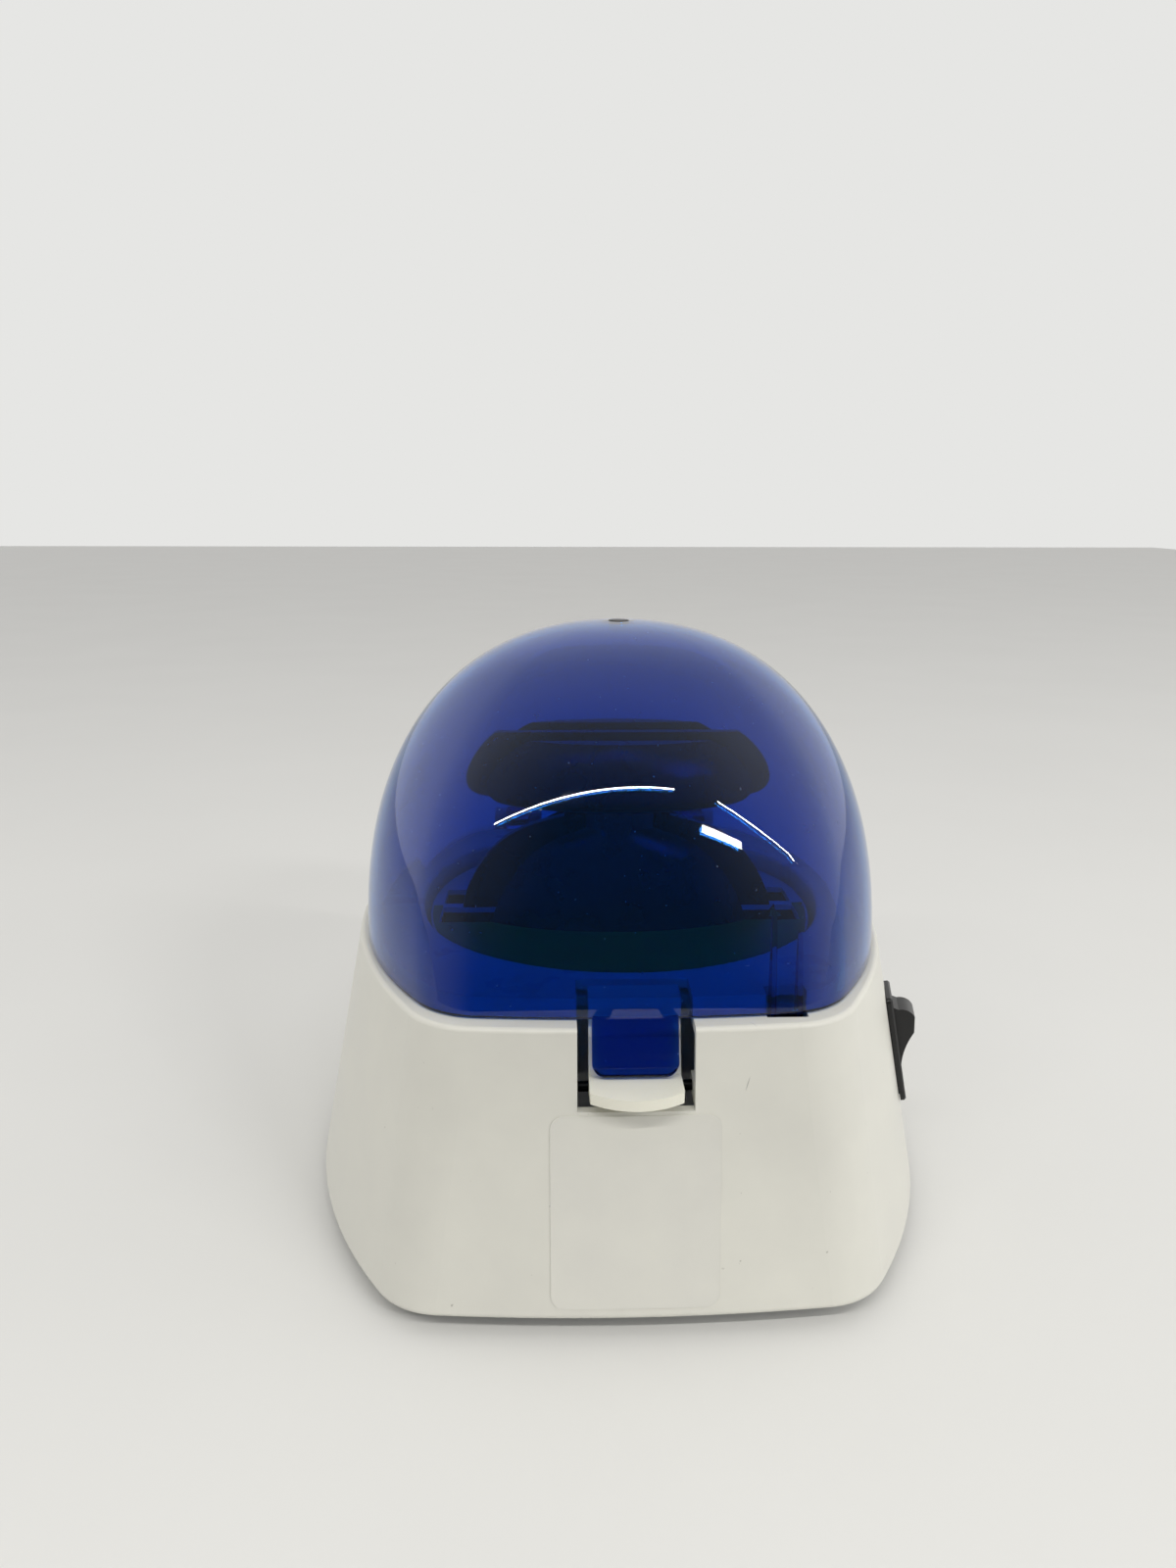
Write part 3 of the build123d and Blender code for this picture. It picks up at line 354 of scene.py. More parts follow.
def plain_finish(name, hex_low, hex_high, rough, grain_mm, bump, metal=False):
    """A finish whose colour and gloss wander slightly, over a fine grain."""
    material, shader = new_material(name, {"Metallic": 1.0} if metal else {"IOR": 1.5})
    coords = add_node(material, "ShaderNodeTexCoord")
    cloud = add_node(
        material,
        "ShaderNodeTexNoise",
        {"Scale": 1 / (CLOUD_MM * MM), "Detail": 5.0},
        {"Vector": coords.outputs["Object"]},
    )
    tone = add_node(material, "ShaderNodeValToRGB", links={"Fac": cloud.outputs["Fac"]})
    tone.color_ramp.elements[0].position = 0.3
    tone.color_ramp.elements[0].color = linear(hex_low)
    tone.color_ramp.elements[1].position = 0.7
    tone.color_ramp.elements[1].color = linear(hex_high)
    wire(material, tone.outputs["Color"], shader.inputs["Base Color"])
    gloss = add_node(
        material,
        "ShaderNodeMapRange",
        {"From Min": 0.3, "From Max": 0.7, "To Min": rough * GLOSS_LOW, "To Max": rough * GLOSS_HIGH},
        {"Value": cloud.outputs["Fac"]},
    )
    wire(material, gloss.outputs["Result"], shader.inputs["Roughness"])
    fine = add_node(
        material,
        "ShaderNodeTexNoise",
        {"Scale": 1 / (grain_mm * MM), "Detail": 2.0},
        {"Vector": coords.outputs["Object"]},
    )
    relief = add_node(
        material,
        "ShaderNodeBump",
        {"Strength": bump, "Distance": RELIEF_MM * MM},
        {"Height": fine.outputs["Fac"]},
    )
    wire(material, relief.outputs["Normal"], shader.inputs["Normal"])
    print("made", name)
    return material


# %% Plastics and rubber
# Moulded ABS has a soft, even gloss. Inside the lid it is a cooler white than the housing, the
# tongue is the creamiest and brightest piece, and the plate underneath is left grey.
white_deck = plain_finish("white_abs_deck", "#D8DADB", "#E2E4E4", 0.3, 0.6, 0.08)
rotor_white = plain_finish("white_abs_rotor", "#D5D7D8", "#DEE0E0", 0.32, 0.6, 0.08)
tongue_white = plain_finish("white_abs_latch", "#EAE9DA", "#F1EFE1", 0.34, 0.6, 0.1)
base_grey = plain_finish("grey_abs_plate", "#A8A9A8", "#B4B5B4", 0.45, 0.6, 0.15)
# Moulded nylon is close to black, and its gloss shows the form where its colour can't.
rotor_black = plain_finish("black_nylon_rotor", "#070708", "#0C0C0E", 0.28, 0.8, 0.12)
switch_black = plain_finish("black_nylon_switch", "#0A0A0B", "#141415", 0.3, 0.5, 0.1)
plug_dark = plain_finish("dark_nylon_plug", "#101013", "#18181C", 0.4, 0.5, 0.1)
# Moulded rubber is dull all over, with a coarser grain.
rubber = plain_finish("black_rubber", "#0D0D0D", "#171716", 0.75, 1.0, 0.3)

# %% Films
# A coated film is smoother than the plastic under it, so its edge shows as a change of gloss.
label_yellow = plain_finish("yellow_vinyl_film", "#B4A01C", "#BFAB26", 0.35, 1.5, 0.05)
label_blank = plain_finish("clear_coated_polyester_film", "#DAD9D2", "#DFDED6", 0.22, 1.2, 0.03)

# %% Metals
# Zinc plate is bright, black oxide drinks most of the light, and a galvanised can is cloudy.
steel = plain_finish("zinc_plated_steel", "#A9ABAD", "#BDBFC0", 0.3, 0.7, 0.05, metal=True)
black_steel = plain_finish("black_oxide_steel", "#121213", "#1C1C1E", 0.4, 0.7, 0.05, metal=True)
motor_steel = plain_finish("galvanised_steel_can", "#8E9092", "#A3A5A6", 0.38, 1.4, 0.1, metal=True)

# %% Electronics
# A board of woven glass and epoxy is green from its lacquer. Its parts are cast in dark epoxy.
board_green = plain_finish("green_glass_epoxy", "#17502E", "#1E5E37", 0.35, 0.9, 0.1)
part_dark = plain_finish("black_epoxy_package", "#101112", "#1A1B1C", 0.45, 0.5, 0.1)

# %% [markdown]
# ## The lid's plan shape
#
# Seen from above, the lid is four shallow arcs joined by round corners, and it shrinks towards
# the top along a rounded profile. A solid modeller lofts a few sections, while a mesh that will
# mirror lamps wants many evenly spaced rings, so the same arcs are worked out here as circles.
# A corner's centre lies where two neighbouring circles, each made smaller by the corner's
# radius, meet. From here on, lengths are in millimetres. Where another piece already says
# where something is, such as the motor's shaft, its place is read from the frame.


# %% Places read from the frame
def box_mm(node):
    """A node's lowest and highest corner at rest, to a thousandth of a millimetre."""
    return np.round(np.array(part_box(node)) / MM, 3)


def middle_mm(node):
    """The middle of a node's box, in millimetres."""
    return box_mm(node).mean(0)


AXIS_Y = middle_mm("motor_shaft")[1]
print("the rotor turns about y =", AXIS_Y)

# %% Lid sizes
LID_HALF_W = 87.7
LID_FRONT = -98.1
LID_REAR = 84.3
LID_BASE = 93.0
LID_TOP = 195.85
LID_WALL = 2.6
LID_POWER = 2.28  # of the side profile; 2 would be an ellipse, and more is fuller
PLUG_R = 3.5
# A corner stands at these shares of the half width and of the reach to the front or rear,
# first at the rim and then at the top, where the lid is almost round.
CORNER_X = (0.641, 0.72)
CORNER_Y = (0.967, 0.72)
CORNER_R = 24.0
CORNER_GROWTH = 1.2  # the share that the radius gains towards the top, while the ring shrinks
AROUND = 288  # points in one ring of the dome
SIDE_POINTS = 90
CORNER_POINTS = 60


# %% Circles and corners
def circle_through(a, b, c):
    """Centre and radius of the circle through three points."""
    ax, ay = a
    bx, by = b
    cx, cy = c
    d = 2 * (ax * (by - cy) + bx * (cy - ay) + cx * (ay - by))
    sa, sb, sc = ax * ax + ay * ay, bx * bx + by * by, cx * cx + cy * cy
    x = (sa * (by - cy) + sb * (cy - ay) + sc * (ay - by)) / d
    y = (sa * (cx - bx) + sb * (ax - cx) + sc * (bx - ax)) / d
    return np.array((x, y)), math.hypot(ax - x, ay - y)


def circles_meet(one, two, near):
    """The point where two circles cross, the one nearer to a given point."""
    (p, r), (q, s) = one, two
    gap = q - p
    d = np.hypot(*gap)
    along = (r * r - s * s + d * d) / (2 * d)
    off = math.sqrt(max(r * r - along * along, 0))
    foot = p + gap * along / d
    side = np.array((-gap[1], gap[0])) / d
    return min((foot + side * off, foot - side * off), key=lambda k: np.hypot(*(k - near)))


def arc_points(centre, radius, start, end, count):
    """Points on an arc between two points of it, the short way round."""
    a = math.atan2(start[1] - centre[1], start[0] - centre[0])
    turn = math.atan2(end[1] - centre[1], end[0] - centre[0]) - a
    turn = (turn + math.pi) % (2 * math.pi) - math.pi
    angles = a + turn * np.linspace(0, 1, count)
    return np.stack((centre[0] + radius * np.cos(angles), centre[1] + radius * np.sin(angles)), 1)


def plan_ring(t, size, inset, angles):
    """Points of the lid's plan shape at a share t of its height, one for each angle."""
    half_w = (LID_HALF_W - inset) * size
    front = AXIS_Y + (LID_FRONT + inset - AXIS_Y) * size
    rear = AXIS_Y + (LID_REAR - inset - AXIS_Y) * size
    x = (CORNER_X[0] + (CORNER_X[1] - CORNER_X[0]) * t) * half_w
    share_y = CORNER_Y[0] + (CORNER_Y[1] - CORNER_Y[0]) * t
    low = AXIS_Y + share_y * (front - AXIS_Y)
    high = AXIS_Y + share_y * (rear - AXIS_Y)
    corner = (CORNER_R - inset) * (1 + CORNER_GROWTH * t) * size
    sharp = [np.array(p) for p in ((x, low), (x, high), (-x, high), (-x, low))]
    sides = [
        circle_through((x, low), (half_w, AXIS_Y), (x, high)),
        circle_through((x, high), (0, rear), (-x, high)),
        circle_through((-x, high), (-half_w, AXIS_Y), (-x, low)),
        circle_through((-x, low), (0, front), (x, low)),
    ]
    loop = []
    for i in range(4):
        here, after = sides[i], sides[(i + 1) % 4]
        hubs = []
        for one, two, tip in ((sides[i - 1], here, sharp[i]), (here, after, sharp[(i + 1) % 4])):
            hubs.append(circles_meet((one[0], one[1] - corner), (two[0], two[1] - corner), tip))
        touch = [here[0] + (hub - here[0]) * here[1] / np.hypot(*(hub - here[0])) for hub in hubs]
        end = after[0] + (hubs[1] - after[0]) * after[1] / np.hypot(*(hubs[1] - after[0]))
        loop.append(arc_points(*here, *touch, SIDE_POINTS)[:-1])
        loop.append(arc_points(hubs[1], corner, touch[1], end, CORNER_POINTS)[:-1])
    loop = np.concatenate(loop)
    turn = np.arctan2(loop[:, 1] - AXIS_Y, loop[:, 0])
    reach = np.hypot(loop[:, 0], loop[:, 1] - AXIS_Y)
    order = np.argsort(turn)
    radius = np.interp(angles, turn[order], reach[order], period=2 * math.pi)
    return np.stack((radius * np.cos(angles), AXIS_Y + radius * np.sin(angles)), 1)


ANGLES = np.linspace(-math.pi, math.pi, AROUND, endpoint=False)
foot_ring = plan_ring(0.0, 1.0, 0.0, ANGLES)
print("lid at its rim:", foot_ring.min(0).round(1), foot_ring.max(0).round(1), "mm")

# %% [markdown]
# ## Meshes from rings
#
# Most of the lid is a stack of closed rings. Each ring is joined to the next by a wall of
# four-sided faces. A stack can close on itself, as a hollow shell does, or end in two flat
# caps. All of it is shaded smooth, because moulded plastic has no flat facets.


# %% Rings and walls
def at_height(ring, z):
    """A flat ring of (x, y) points, lifted to a height."""
    return np.column_stack((ring, np.full(len(ring), z)))


def place_mesh(name, mesh, material):
    """A smooth-shaded object in the scene, with one material."""
    mesh.materials.append(material)
    for face in mesh.polygons:
        face.use_smooth = True
    thing = bpy.data.objects.new(name, mesh)
    bpy.context.scene.collection.objects.link(thing)
    return thing


def mesh_object(name, points, faces, material):
    """A new mesh object from points in millimetres."""
    mesh = bpy.data.meshes.new(name)
    mesh.from_pydata([tuple(float(v) * MM for v in p) for p in points], [], faces)
    mesh.update()
    return place_mesh(name, mesh, material)


def ring_walls(count, around, closed=False):
    """The faces between rings of points, and from the last ring to the first if closed."""
    faces = []
    for i in range(count if closed else count - 1):
        low, high = i * around, (i + 1) % count * around
        for j in range(around):
            k = (j + 1) % around
            faces.append((low + j, low + k, high + k, high + j))
    return faces


def closed_rings(name, rings, material):
    """A hollow body, like a torus, whose last ring meets its first."""
    faces = ring_walls(len(rings), len(rings[0]), closed=True)
    return mesh_object(name, np.concatenate(rings), faces, material)


def capped_rings(name, rings, material):
    """A solid body with a flat cap on its first and last ring."""
    around = len(rings[0])
    last = (len(rings) - 1) * around
    faces = ring_walls(len(rings), around)
    faces += [tuple(range(around))[::-1], tuple(range(last, last + around))]
    return mesh_object(name, np.concatenate(rings), faces, material)


print("ring helpers ready")

# %% [markdown]
# ## The lid's shell
#
# The real lid is one moulding: a domed wall 2.6 mm thick, a tab that the latch holds, a prong
# that presses the safety switch, and two hinge arms. The dome comes first. Its rings run up the
# outside, round the plug's hole and down the inside, and the rim between them is rounded,
# because a sharp edge would never catch a highlight.

# %% Dome rings
RINGS = 76
EDGE = 0.5  # radius of the rounded edges
ROUND_MID = 0.3  # a quarter round's middle lies this share of its radius in from either face
PLUG_CLEAR = 1.05  # the last ring is this much wider than the plug's hole


def dome_rings(inset):
    """Rings from the rim up to the plug's hole, as rows of (x, y, z)."""
    rise = LID_TOP - inset - LID_BASE
    last = math.acos((PLUG_CLEAR * PLUG_R / LID_HALF_W) ** (LID_POWER / 2))
    rings = []
    for phi in np.linspace(0.0, last, RINGS):
        t = math.sin(phi) ** (2 / LID_POWER)
        size = math.cos(phi) ** (2 / LID_POWER)
        rings.append(at_height(plan_ring(t, size, inset, ANGLES), LID_BASE + rise * t))
    hole = np.stack((PLUG_R * np.cos(ANGLES), AXIS_Y + PLUG_R * np.sin(ANGLES)), 1)
    rings.append(at_height(hole, LID_BASE + rise))
    return rings


def rim_ring(inset, lift):
    """One ring of the rounded rim, set in by so much and lifted by so much."""
    return at_height(plan_ring(0.0, 1.0, inset, ANGLES), LID_BASE + lift)


# %% Dome
mid = EDGE * ROUND_MID
outside = dome_rings(0.0)
inside = dome_rings(LID_WALL)
outside[0][:, 2] += EDGE
inside[0][:, 2] += EDGE
rim = [
    rim_ring(LID_WALL - mid, mid),
    rim_ring(LID_WALL - EDGE, 0.0),
    rim_ring(EDGE, 0.0),
    rim_ring(mid, mid),
]
dome = closed_rings("lid_shell", outside + inside[::-1] + rim, blue_clear)
print(dome.name, len(dome.data.vertices), "vertices")

# %% [markdown]
# ## Prisms and unions
#
# The prong, the arms and the block that shapes the thumb lip are flat profiles pushed along a
# line, with a bevel that rounds their edges. Pieces meet by boolean operations, so that light
# finds no hidden wall inside the plastic and each part keeps the depth of blue it came with.

# %% Rounded prisms
SHARP_EDGE = 0.6  # radians; an edge that turns by more than this is rounded


def prism(name, profile, place, depth, material, round_mm, segments=4):
    """Pushes a profile of (u, v) to a depth; place turns u, v and a depth into x, y, z."""
    form = bmesh.new()
    front = [form.verts.new(Vector(place(u, v, 0.0)) * MM) for u, v in profile]
    back = [form.verts.new(Vector(place(u, v, depth)) * MM) for u, v in profile]
    form.faces.new(front)
    form.faces.new(back[::-1])
    for i in range(len(profile)):
        k = (i + 1) % len(profile)
        form.faces.new((front[i], back[i], back[k], front[k]))
    bmesh.ops.recalc_face_normals(form, faces=form.faces)
    sharp = [e for e in form.edges if len(e.link_faces) == 2 and e.calc_face_angle() > SHARP_EDGE]
    if round_mm:
        bmesh.ops.bevel(form, geom=sharp, offset=round_mm * MM, segments=segments, affect="EDGES")
    mesh = bpy.data.meshes.new(name)
    form.to_mesh(mesh)
    form.free()
    return place_mesh(name, mesh, material)


print("prisms ready")


# %% Booleans
def combine(whole, piece, operation):
    """Cuts a mesh by a piece or joins the piece to it, and removes the piece."""
    step = whole.modifiers.new("combine", "BOOLEAN")
    step.object = piece
    step.operation = operation
    step.solver = "EXACT"
    step.material_mode = "TRANSFER"
    graph = bpy.context.evaluated_depsgraph_get()
    result = bpy.data.meshes.new_from_object(whole.evaluated_get(graph))
    whole.modifiers.clear()
    whole.data = result
    bpy.data.objects.remove(piece)


print("booleans ready")

# %% [markdown]
# ## The tab
#
# The tab hangs from the lid's front and slopes outwards, and the latch's tongue holds it from
# behind. It is a flat bar with rounded corners and a low band across its end, where a thumb
# takes it. Rings of the same rounded rectangle, one for each height, make it: they grow
# narrower in the corners and step forward in the band.

# %% Tab
TAB_HALF = 12.45
TAB_T = 2.4
TAB_BOTTOM_Y, TAB_BOTTOM = box_mm("lid_dome")[0][1:]
TAB_SLOPE = (LID_FRONT - TAB_BOTTOM_Y) / (LID_BASE - TAB_BOTTOM)
TAB_CORNER = 4.0
TAB_SINK = 0.3  # how far its face goes into the dome's wall, so that the two make one body
TAB_IN_DOME = 2.5  # how far it reaches up behind the rim
TAB_PLAIN = [86.0, 90.0]  # two rings in the long plain part keep its faces well shaped
BAND_PROUD = 0.35
BAND_LOW = 79.8
BAND_HIGH = 83.0
BAND_RAMP = 0.4
EDGE_STEPS = 6  # steps in a quarter round


def tab_face(z):
    """Y of the tab's outer face at a height."""
    return LID_FRONT - TAB_SLOPE * (LID_BASE - z)


def tab_ring(z):
    """The tab's cross-section at a height: a rounded bar, narrower near its lower corners."""
    lift = z - TAB_BOTTOM
    half = TAB_HALF
    if lift < TAB_CORNER:
        half -= TAB_CORNER - math.sqrt(TAB_CORNER**2 - (TAB_CORNER - lift) ** 2)
    soft = EDGE - math.sqrt(max(EDGE**2 - (EDGE - lift) ** 2, 0)) if lift < EDGE else 0.0
    rise = min(max((z - BAND_LOW) / BAND_RAMP, 0), 1)
    fall = min(max((BAND_HIGH - z) / BAND_RAMP, 0), 1)
    proud = BAND_PROUD * rise * fall
    front = min(tab_face(z), LID_FRONT + TAB_SINK) - proud + soft
    back = front + proud + TAB_T - 2 * soft
    ring = []
    for x, y, turn in ((half, front, -90), (half, back, 0), (-half, back, 90), (-half, front, 180)):
        hub_x = x - math.copysign(EDGE, x)
        hub_y = y + EDGE if y == front else y - EDGE
        for step in range(EDGE_STEPS + 1):
            a = math.radians(turn + 90 * step / EDGE_STEPS)
            ring.append((hub_x + EDGE * math.cos(a), hub_y + EDGE * math.sin(a), z))
    return ring


# The lower corners are round, so the rings stand at even angles of their quarter circles.
corner_turns = [math.radians(a) for a in range(4, 91, 6)]
tab_levels = [TAB_BOTTOM + TAB_CORNER * (1 - math.cos(a)) for a in corner_turns]
tab_levels += [BAND_LOW, BAND_LOW + BAND_RAMP, BAND_HIGH - BAND_RAMP, BAND_HIGH]
tab_levels += TAB_PLAIN + [LID_BASE, LID_BASE + TAB_IN_DOME]
# The tab's deeper blue is painted shade, standing in for the shade of the latch's slot on the tongue.
tab = capped_rings("lid_tab", [tab_ring(z) for z in sorted(tab_levels)], blue_thick_and_shade)
print(tab.name, "from", TAB_BOTTOM, "to", LID_BASE + TAB_IN_DOME, "mm")

# %% [markdown]
# ## The prong
#
# A prong to the right of the tab presses the safety switch when the lid is shut. The real one
# is a moulded channel that is open towards the middle of the machine, stiff and thin at once.
# It is a U-shaped profile pushed upwards, well past the dome. It may not reach through the
# wall, so it is trimmed by a solid of the dome's own shape that ends in mid-wall.

# %% Prong
PRONG_X = 43.99  # above the safety switch's button
PRONG_HALF = 4.6
PRONG_RIB = 1.5
PRONG_FRONT = LID_FRONT + 1.0  # in front of mid-wall, so that the trimmer makes its front
PRONG_INNER_Y = -88.0
PRONG_BOTTOM = 84.0
PRONG_TOP = 150.0
TRIM_BOTTOM = 80.0

left, right = PRONG_X - PRONG_HALF, PRONG_X + PRONG_HALF
web = LID_FRONT + LID_WALL + PRONG_RIB
prong_profile = [
    (left, PRONG_FRONT),
    (right, PRONG_FRONT),
    (right, PRONG_INNER_Y),
    (right - PRONG_RIB, PRONG_INNER_Y),
    (right - PRONG_RIB, web),
    (left + PRONG_RIB, web),
    (left + PRONG_RIB, PRONG_INNER_Y),
    (left, PRONG_INNER_Y),
]
prong = prism(
    "lid_prong",
    prong_profile,
    lambda u, v, d: (u, v, PRONG_BOTTOM + d),
    PRONG_TOP - PRONG_BOTTOM,
    blue_thick_and_shade,
    round_mm=0.2,
    segments=2,
)
trim_foot = at_height(plan_ring(0.0, 1.0, LID_WALL / 2, ANGLES), TRIM_BOTTOM)
trimmer = capped_rings("lid_trimmer", [trim_foot] + dome_rings(LID_WALL / 2), blue_thick_and_shade)
combine(prong, trimmer, "INTERSECT")
print(prong.name, len(prong.data.polygons), "faces")

# %% [markdown]
# ## The hinge arms
#
# Two arms reach back from the lid's rear and end in barrels that turn on the hinge pins. Each
# is one profile, a straight arm that runs into a round barrel, pushed across the arm's width,
# and a second, longer prism bores the pin's hole through it.

# %% Hinge arms
HINGE_X = 39.0
HINGE_Y, HINGE_Z = middle_mm("hinge_pins")[1:]
PIN_R = np.ptp(box_mm("hinge_pins")[:, 2]) / 2
PIN_CLEAR = 0.06
ARM_W = 10.0
ARM_HALF_T = 4.0
ARM_START_Y = 82.0
BARREL_R = 5.0
BARREL_POINTS = 33
BORE_POINTS = 48
BORE_SPARE = 1.0  # how far the bore's prism stands out on either side


def hinge_arc(radius, turns):
    """Points around the hinge's axis, as (y, z)."""
    return [(HINGE_Y + radius * math.cos(a), HINGE_Z + radius * math.sin(a)) for a in turns]


barrel_turn = math.pi - math.asin(ARM_HALF_T / BARREL_R)
barrel = hinge_arc(BARREL_R, np.linspace(-barrel_turn, barrel_turn, BARREL_POINTS))
arm_profile = [(ARM_START_Y, HINGE_Z - ARM_HALF_T)] + barrel + [(ARM_START_Y, HINGE_Z + ARM_HALF_T)]
bore_turns = np.linspace(0, 2 * math.pi, BORE_POINTS, endpoint=False)
bore_profile = hinge_arc(PIN_R + PIN_CLEAR, bore_turns)
arms = []
for side in (-1, 1):
    start = side * HINGE_X - ARM_W / 2
    arm = prism(
        f"lid_arm_{side}",
        arm_profile,
        lambda u, v, d: (start + d, u, v),
        ARM_W,
        blue_thick_and_shade,
        round_mm=0.3,
        segments=3,
    )
    bore = prism(
        "pin_hole",
        bore_profile,
        lambda u, v, d: (start - BORE_SPARE + d, u, v),
        ARM_W + 2 * BORE_SPARE,
        blue_thick_and_shade,
        round_mm=0,
    )
    combine(arm, bore, "DIFFERENCE")
    arms.append(arm)
print(len(arms), "arms with bores of", round(2 * (PIN_R + PIN_CLEAR), 2), "mm")

# %% [markdown]
# All pieces now join the dome. Where faces meet at a steep angle the shading is kept crisp, and
# everywhere else it stays smooth. The finished lid takes the place of the plain solid.

# %% The lid in one piece
LID_CREASE = 38  # degrees

for piece in (tab, prong, *arms):
    combine(dome, piece, "UNION")
dome.data.set_sharp_from_angle(angle=math.radians(LID_CREASE))
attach(dome, "lid")
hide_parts("lid_dome")
print(dome.name, len(dome.data.polygons), "faces after the unions")

# %% [markdown]
# ## The tongue's thumb lip
#
# The solid's lip ends straight between two round corners, while the front of the real one is a
# single shallow arc from side to side. A block whose front is that arc keeps only what lies
# inside it, so nothing grows and the tongue still clears its notch.

# %% Curved lip
LIP_TRIM = 0.05  # what the arc takes off at the middle, so that it cuts all the way across
LIP_SAG = 4.5  # how far the arc falls back at the tongue's sides
LIP_SPARE = 3.0  # how far the block stands out around the tongue
LIP_POINTS = 49
LIP_CREASE = 30  # degrees

tongue_low, tongue_high = box_mm("latch_tongue")
tongue = bpy.data.objects.new("latch_tongue_curved", NODES["latch_tongue"].data.copy())
tongue.matrix_world = NODES["latch_tongue"].matrix_world.copy()
bpy.context.scene.collection.objects.link(tongue)
tongue.data.materials.clear()
tongue.data.materials.append(tongue_white)
lip_half = tongue_high[0]
lip_x = np.linspace(-lip_half - LIP_SPARE, lip_half + LIP_SPARE, LIP_POINTS)
lip_arc = [(x, tongue_low[1] + LIP_TRIM + LIP_SAG * (x / lip_half) ** 2) for x in lip_x]
block_back = tongue_high[1] + LIP_SPARE
block = prism(
    "lip_block",
    [(lip_x[0], block_back)] + lip_arc + [(lip_x[-1], block_back)],
    lambda u, v, d: (u, v, tongue_low[2] - LIP_SPARE + d),
    tongue_high[2] - tongue_low[2] + 2 * LIP_SPARE,
    tongue_white,
    round_mm=0,
)
combine(tongue, block, "INTERSECT")
for face in tongue.data.polygons:
    face.use_smooth = True
tongue.data.set_sharp_from_angle(angle=math.radians(LIP_CREASE))
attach(tongue, "latch")
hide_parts("latch_tongue")
print(tongue.name, len(tongue.data.polygons), "faces")

# %% [markdown]
# ## Finishes onto the solids
#
# Each solid of the frame gets its finish by name. The table reads like the parts list, which
# makes it easy to see that nothing was left in the plain grey that it came in. The solids of
# the lid and the tongue are in it too, though the pieces made above stand for them.

# %% Finish table
FINISHES = {
    "housing": white_abs,
    "chamber": white_deck,
    "base_plate": base_grey,
    "feet": rubber,
    "base_screws": steel,
    "front_label": label_blank,
    "motor": motor_steel,
    "motor_mount": steel,
    "motor_grommets": rubber,
    "motor_screws": steel,
    "shaft_seal": rubber,
    "hinge_pins": steel,
    "latch_pin": black_steel,
    "interlock_switch": switch_black,
    "interlock_cradle": white_deck,
    "interlock_button": part_dark,
    "switch_bezel": switch_black,
    "switch_can": switch_black,
    "rocker_pin": steel,
    "power_rocker": switch_black,
    "board_posts": white_deck,
    "control_board": board_green,
    "board_parts": part_dark,
    "power_inlet": switch_black,
    "lid_dome": blue_clear,
    "lid_plug": plug_dark,
    "rotor_bucket": rotor_black,
    "rotor_flange": rotor_white,
    "rotor_label": label_yellow,
    "rotor_web": rotor_black,
    "rotor_guard_front": rotor_black,
    "rotor_guard_rear": rotor_black,
    "rotor_hub": steel,
    "motor_shaft": steel,
    "latch_tongue": tongue_white,
}
for name, material in FINISHES.items():
    for slot in NODES[name].material_slots:
        slot.material = material
print("left plain:", sorted(set(NODES) - set(FINISHES)))

# %% [markdown]
# ## The floor
#
# A pale painted floor that fades into a pale room keeps attention on the machine. It reaches
# far behind and to the sides, but it ends shortly in front of the machine, under the camera.
# A glossy lid mirrors what lies in front of it, and a bright floor there would cover the lower
# half of the dome with haze.

# %% Floor
FLOOR_REACH = 3000
FLOOR_FRONT = -300
FLOOR_BACK = 5300
FLOOR_CLOUD_MM = 1000 / 6  # six clouds to a metre
floor_paint, shader = new_material("pale_painted_floor", {"Roughness": 0.6})
coords = add_node(floor_paint, "ShaderNodeTexCoord")
cloud = add_node(
    floor_paint,
    "ShaderNodeTexNoise",
    {"Scale": 1 / (FLOOR_CLOUD_MM * MM), "Detail": 4.0},
    {"Vector": coords.outputs["Object"]},
)
tone = add_node(floor_paint, "ShaderNodeValToRGB", links={"Fac": cloud.outputs["Fac"]})
tone.color_ramp.elements[0].color = linear("#E0E0DE")
tone.color_ramp.elements[1].color = linear("#E5E5E3")
wire(floor_paint, tone.outputs["Color"], shader.inputs["Base Color"])

floor_corners = [
    (-FLOOR_REACH, FLOOR_FRONT, 0),
    (FLOOR_REACH, FLOOR_FRONT, 0),
    (FLOOR_REACH, FLOOR_BACK, 0),
    (-FLOOR_REACH, FLOOR_BACK, 0),
]
floor = mesh_object("floor", floor_corners, [(0, 1, 2, 3)], floor_paint)
print("floor from y =", FLOOR_FRONT, "to", FLOOR_BACK, "mm")

# %% [markdown]
# ## The room's glow
#
# The room lights the machine from all around, and the glossy lid mirrors it. Its strength
# depends on the direction: nearly dark in front, where the camera stands, brighter towards the
# back and both sides, and on the right a little brighter than on the left. So the dome stays a
# deep blue in the middle and its flanks carry a grey haze, which lets the eye read it as a
# round and glossy body. What the camera sees directly or through the lid is a plain pale
# backdrop instead, whatever the glow behind it is.

# %% Room glow
GLOW_FRONT = 0.03
GLOW_BACK = 0.78
GLOW_SIDES = 0.42  # added at the sides
LEAN_RIGHT = 0.25
world = bpy.data.worlds.new("room")
world.use_nodes = True
bpy.context.scene.world = world
world.node_tree.nodes.clear()
heading = add_node(world, "ShaderNodeTexCoord")
parts = add_node(world, "ShaderNodeSeparateXYZ", links={0: heading.outputs["Generated"]})
slant = add_node(
    world,
    "ShaderNodeMath",
    {"operation": "MULTIPLY_ADD", 1: LEAN_RIGHT},
    {0: parts.outputs["X"], 2: parts.outputs["Y"]},
)
depth = add_node(
    world,
    "ShaderNodeMapRange",
    {
        "interpolation_type": "SMOOTHSTEP",
        "From Min": -0.9,
        "From Max": 0.35,
        "To Min": GLOW_FRONT,
        "To Max": GLOW_BACK,
    },
    {"Value": slant.outputs[0]},
)
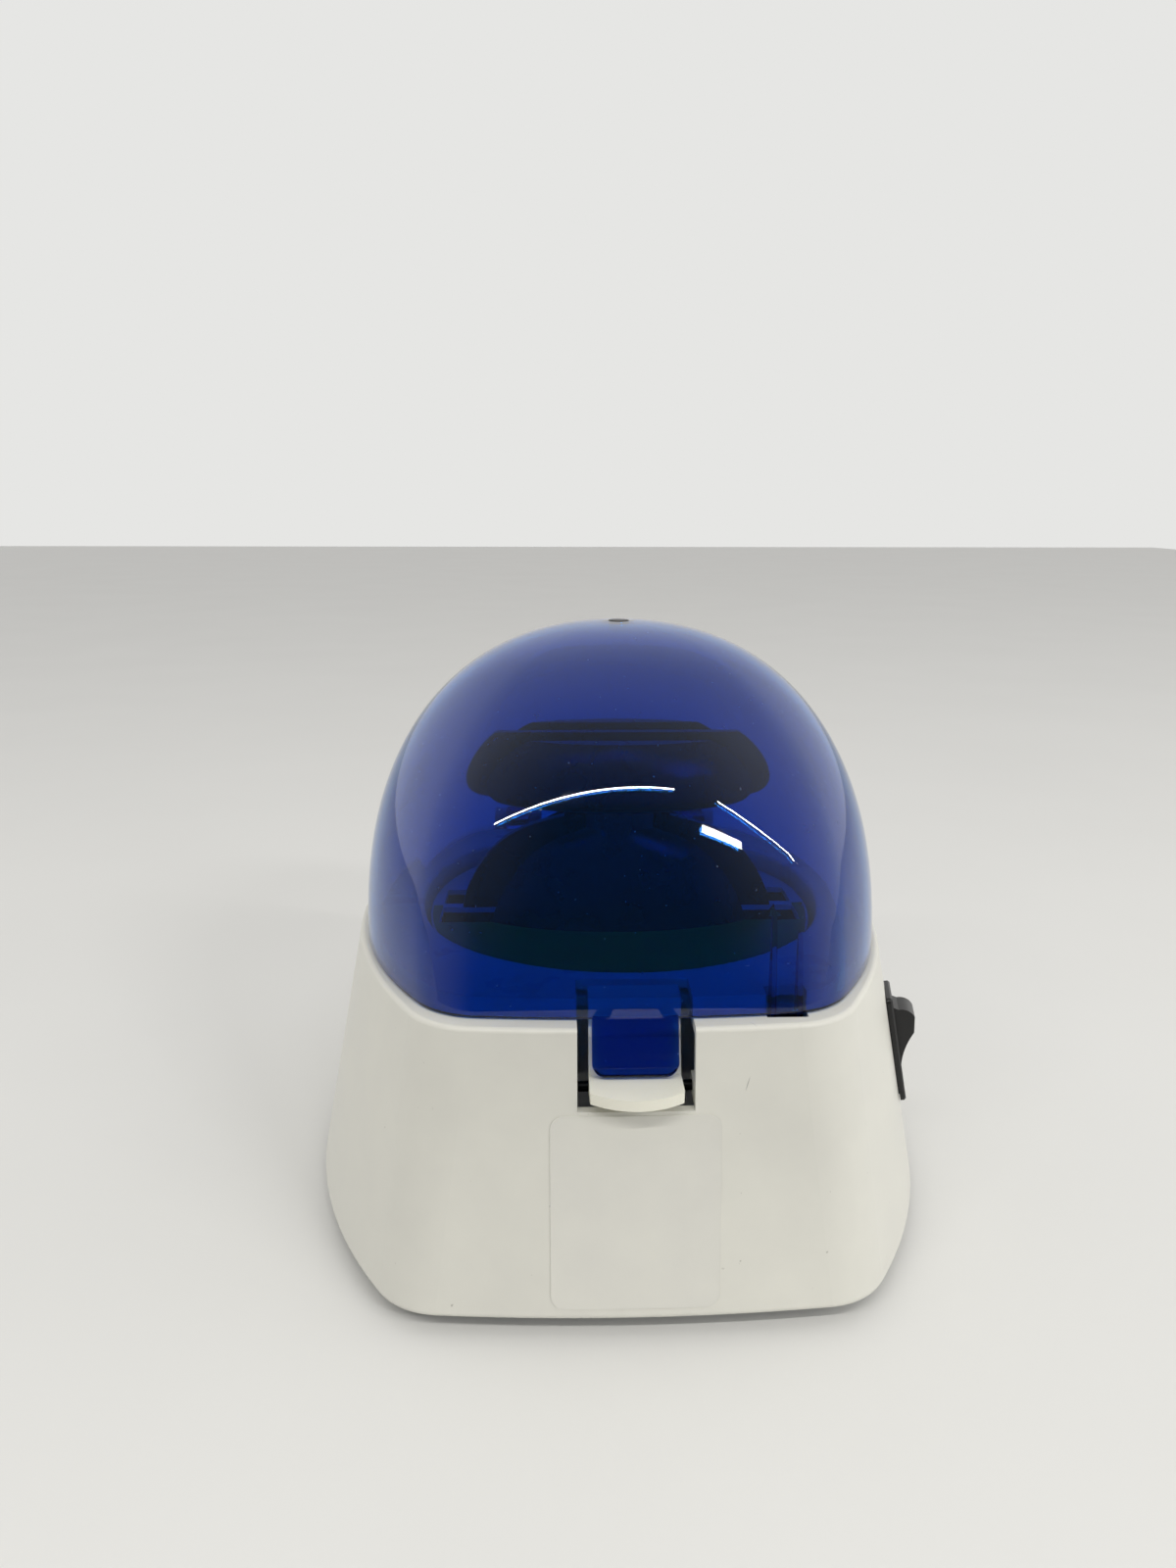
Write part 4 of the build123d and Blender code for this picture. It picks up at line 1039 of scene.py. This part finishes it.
across = add_node(world, "ShaderNodeMath", {"operation": "ABSOLUTE"}, {0: parts.outputs["X"]})
flanks = add_node(
    world,
    "ShaderNodeMapRange",
    {
        "interpolation_type": "SMOOTHSTEP",
        "From Min": 0.3,
        "From Max": 0.95,
        "To Min": 0.0,
        "To Max": GLOW_SIDES,
    },
    {"Value": across.outputs[0]},
)
level = add_node(
    world,
    "ShaderNodeMath",
    {"operation": "ADD"},
    {0: depth.outputs["Result"], 1: flanks.outputs["Result"]},
)
glow = add_node(
    world,
    "ShaderNodeBackground",
    {"Color": linear("#FAF9F7")},
    {"Strength": level.outputs[0]},
)
print("glow from", GLOW_FRONT, "in front to", GLOW_BACK, "behind")

# %% Backdrop
backdrop = add_node(world, "ShaderNodeBackground", {"Color": linear("#E6E6E4"), "Strength": 1.0})
path = add_node(world, "ShaderNodeLightPath")
seen = add_node(
    world,
    "ShaderNodeMath",
    {"operation": "MAXIMUM"},
    {0: path.outputs["Is Camera Ray"], 1: path.outputs["Is Transmission Ray"]},
)
shown = add_node(
    world,
    "ShaderNodeMixShader",
    links={0: seen.outputs[0], 1: glow.outputs[0], 2: backdrop.outputs[0]},
)
add_node(world, "ShaderNodeOutputWorld", links={"Surface": shown.outputs[0]})
print("backdrop ready")

# %% [markdown]
# ## The lamps
#
# Fluorescent tubes draw thin bright lines on a glossy dome. Two long, very thin lamps stand for
# them, one above the camera on its left and one far to the right, and a broader panel between
# them makes a wider highlight. Each is placed by where its mirror image has to fall and sized
# by how large that image has to be, and its power only tops up the room's own glow.


# %% Lamps
def lamp(name, place, aim, size, watts, hex_code):
    """A flat rectangular lamp that looks at a point, all in millimetres."""
    data = bpy.data.lights.new(name, "AREA")
    data.shape = "RECTANGLE"
    data.size = size[0] * MM
    data.size_y = size[1] * MM
    data.energy = watts
    data.color = linear(hex_code)[:3]
    thing = bpy.data.objects.new(name, data)
    thing.location = Vector(place) * MM
    direction = Vector(aim) * MM - thing.location
    thing.rotation_euler = direction.to_track_quat("-Z", "Y").to_euler()
    bpy.context.scene.collection.objects.link(thing)
    return thing


TUBE_WHITE = "#FFFDF8"
PANEL_WHITE = "#FFFFFF"
lamps = [
    lamp("tube_left", (-405, -1070, 1350), (-467, 0, 60), (1790, 14), 12, TUBE_WHITE),
    lamp("tube_right", (1730, -1370, 1350), (2245, -68, 60), (1650, 14), 12, TUBE_WHITE),
    lamp("front_panel", (1300, -1810, 1350), (1820, -87, 60), (680, 130), 14, PANEL_WHITE),
]
print(len(lamps), "lamps")
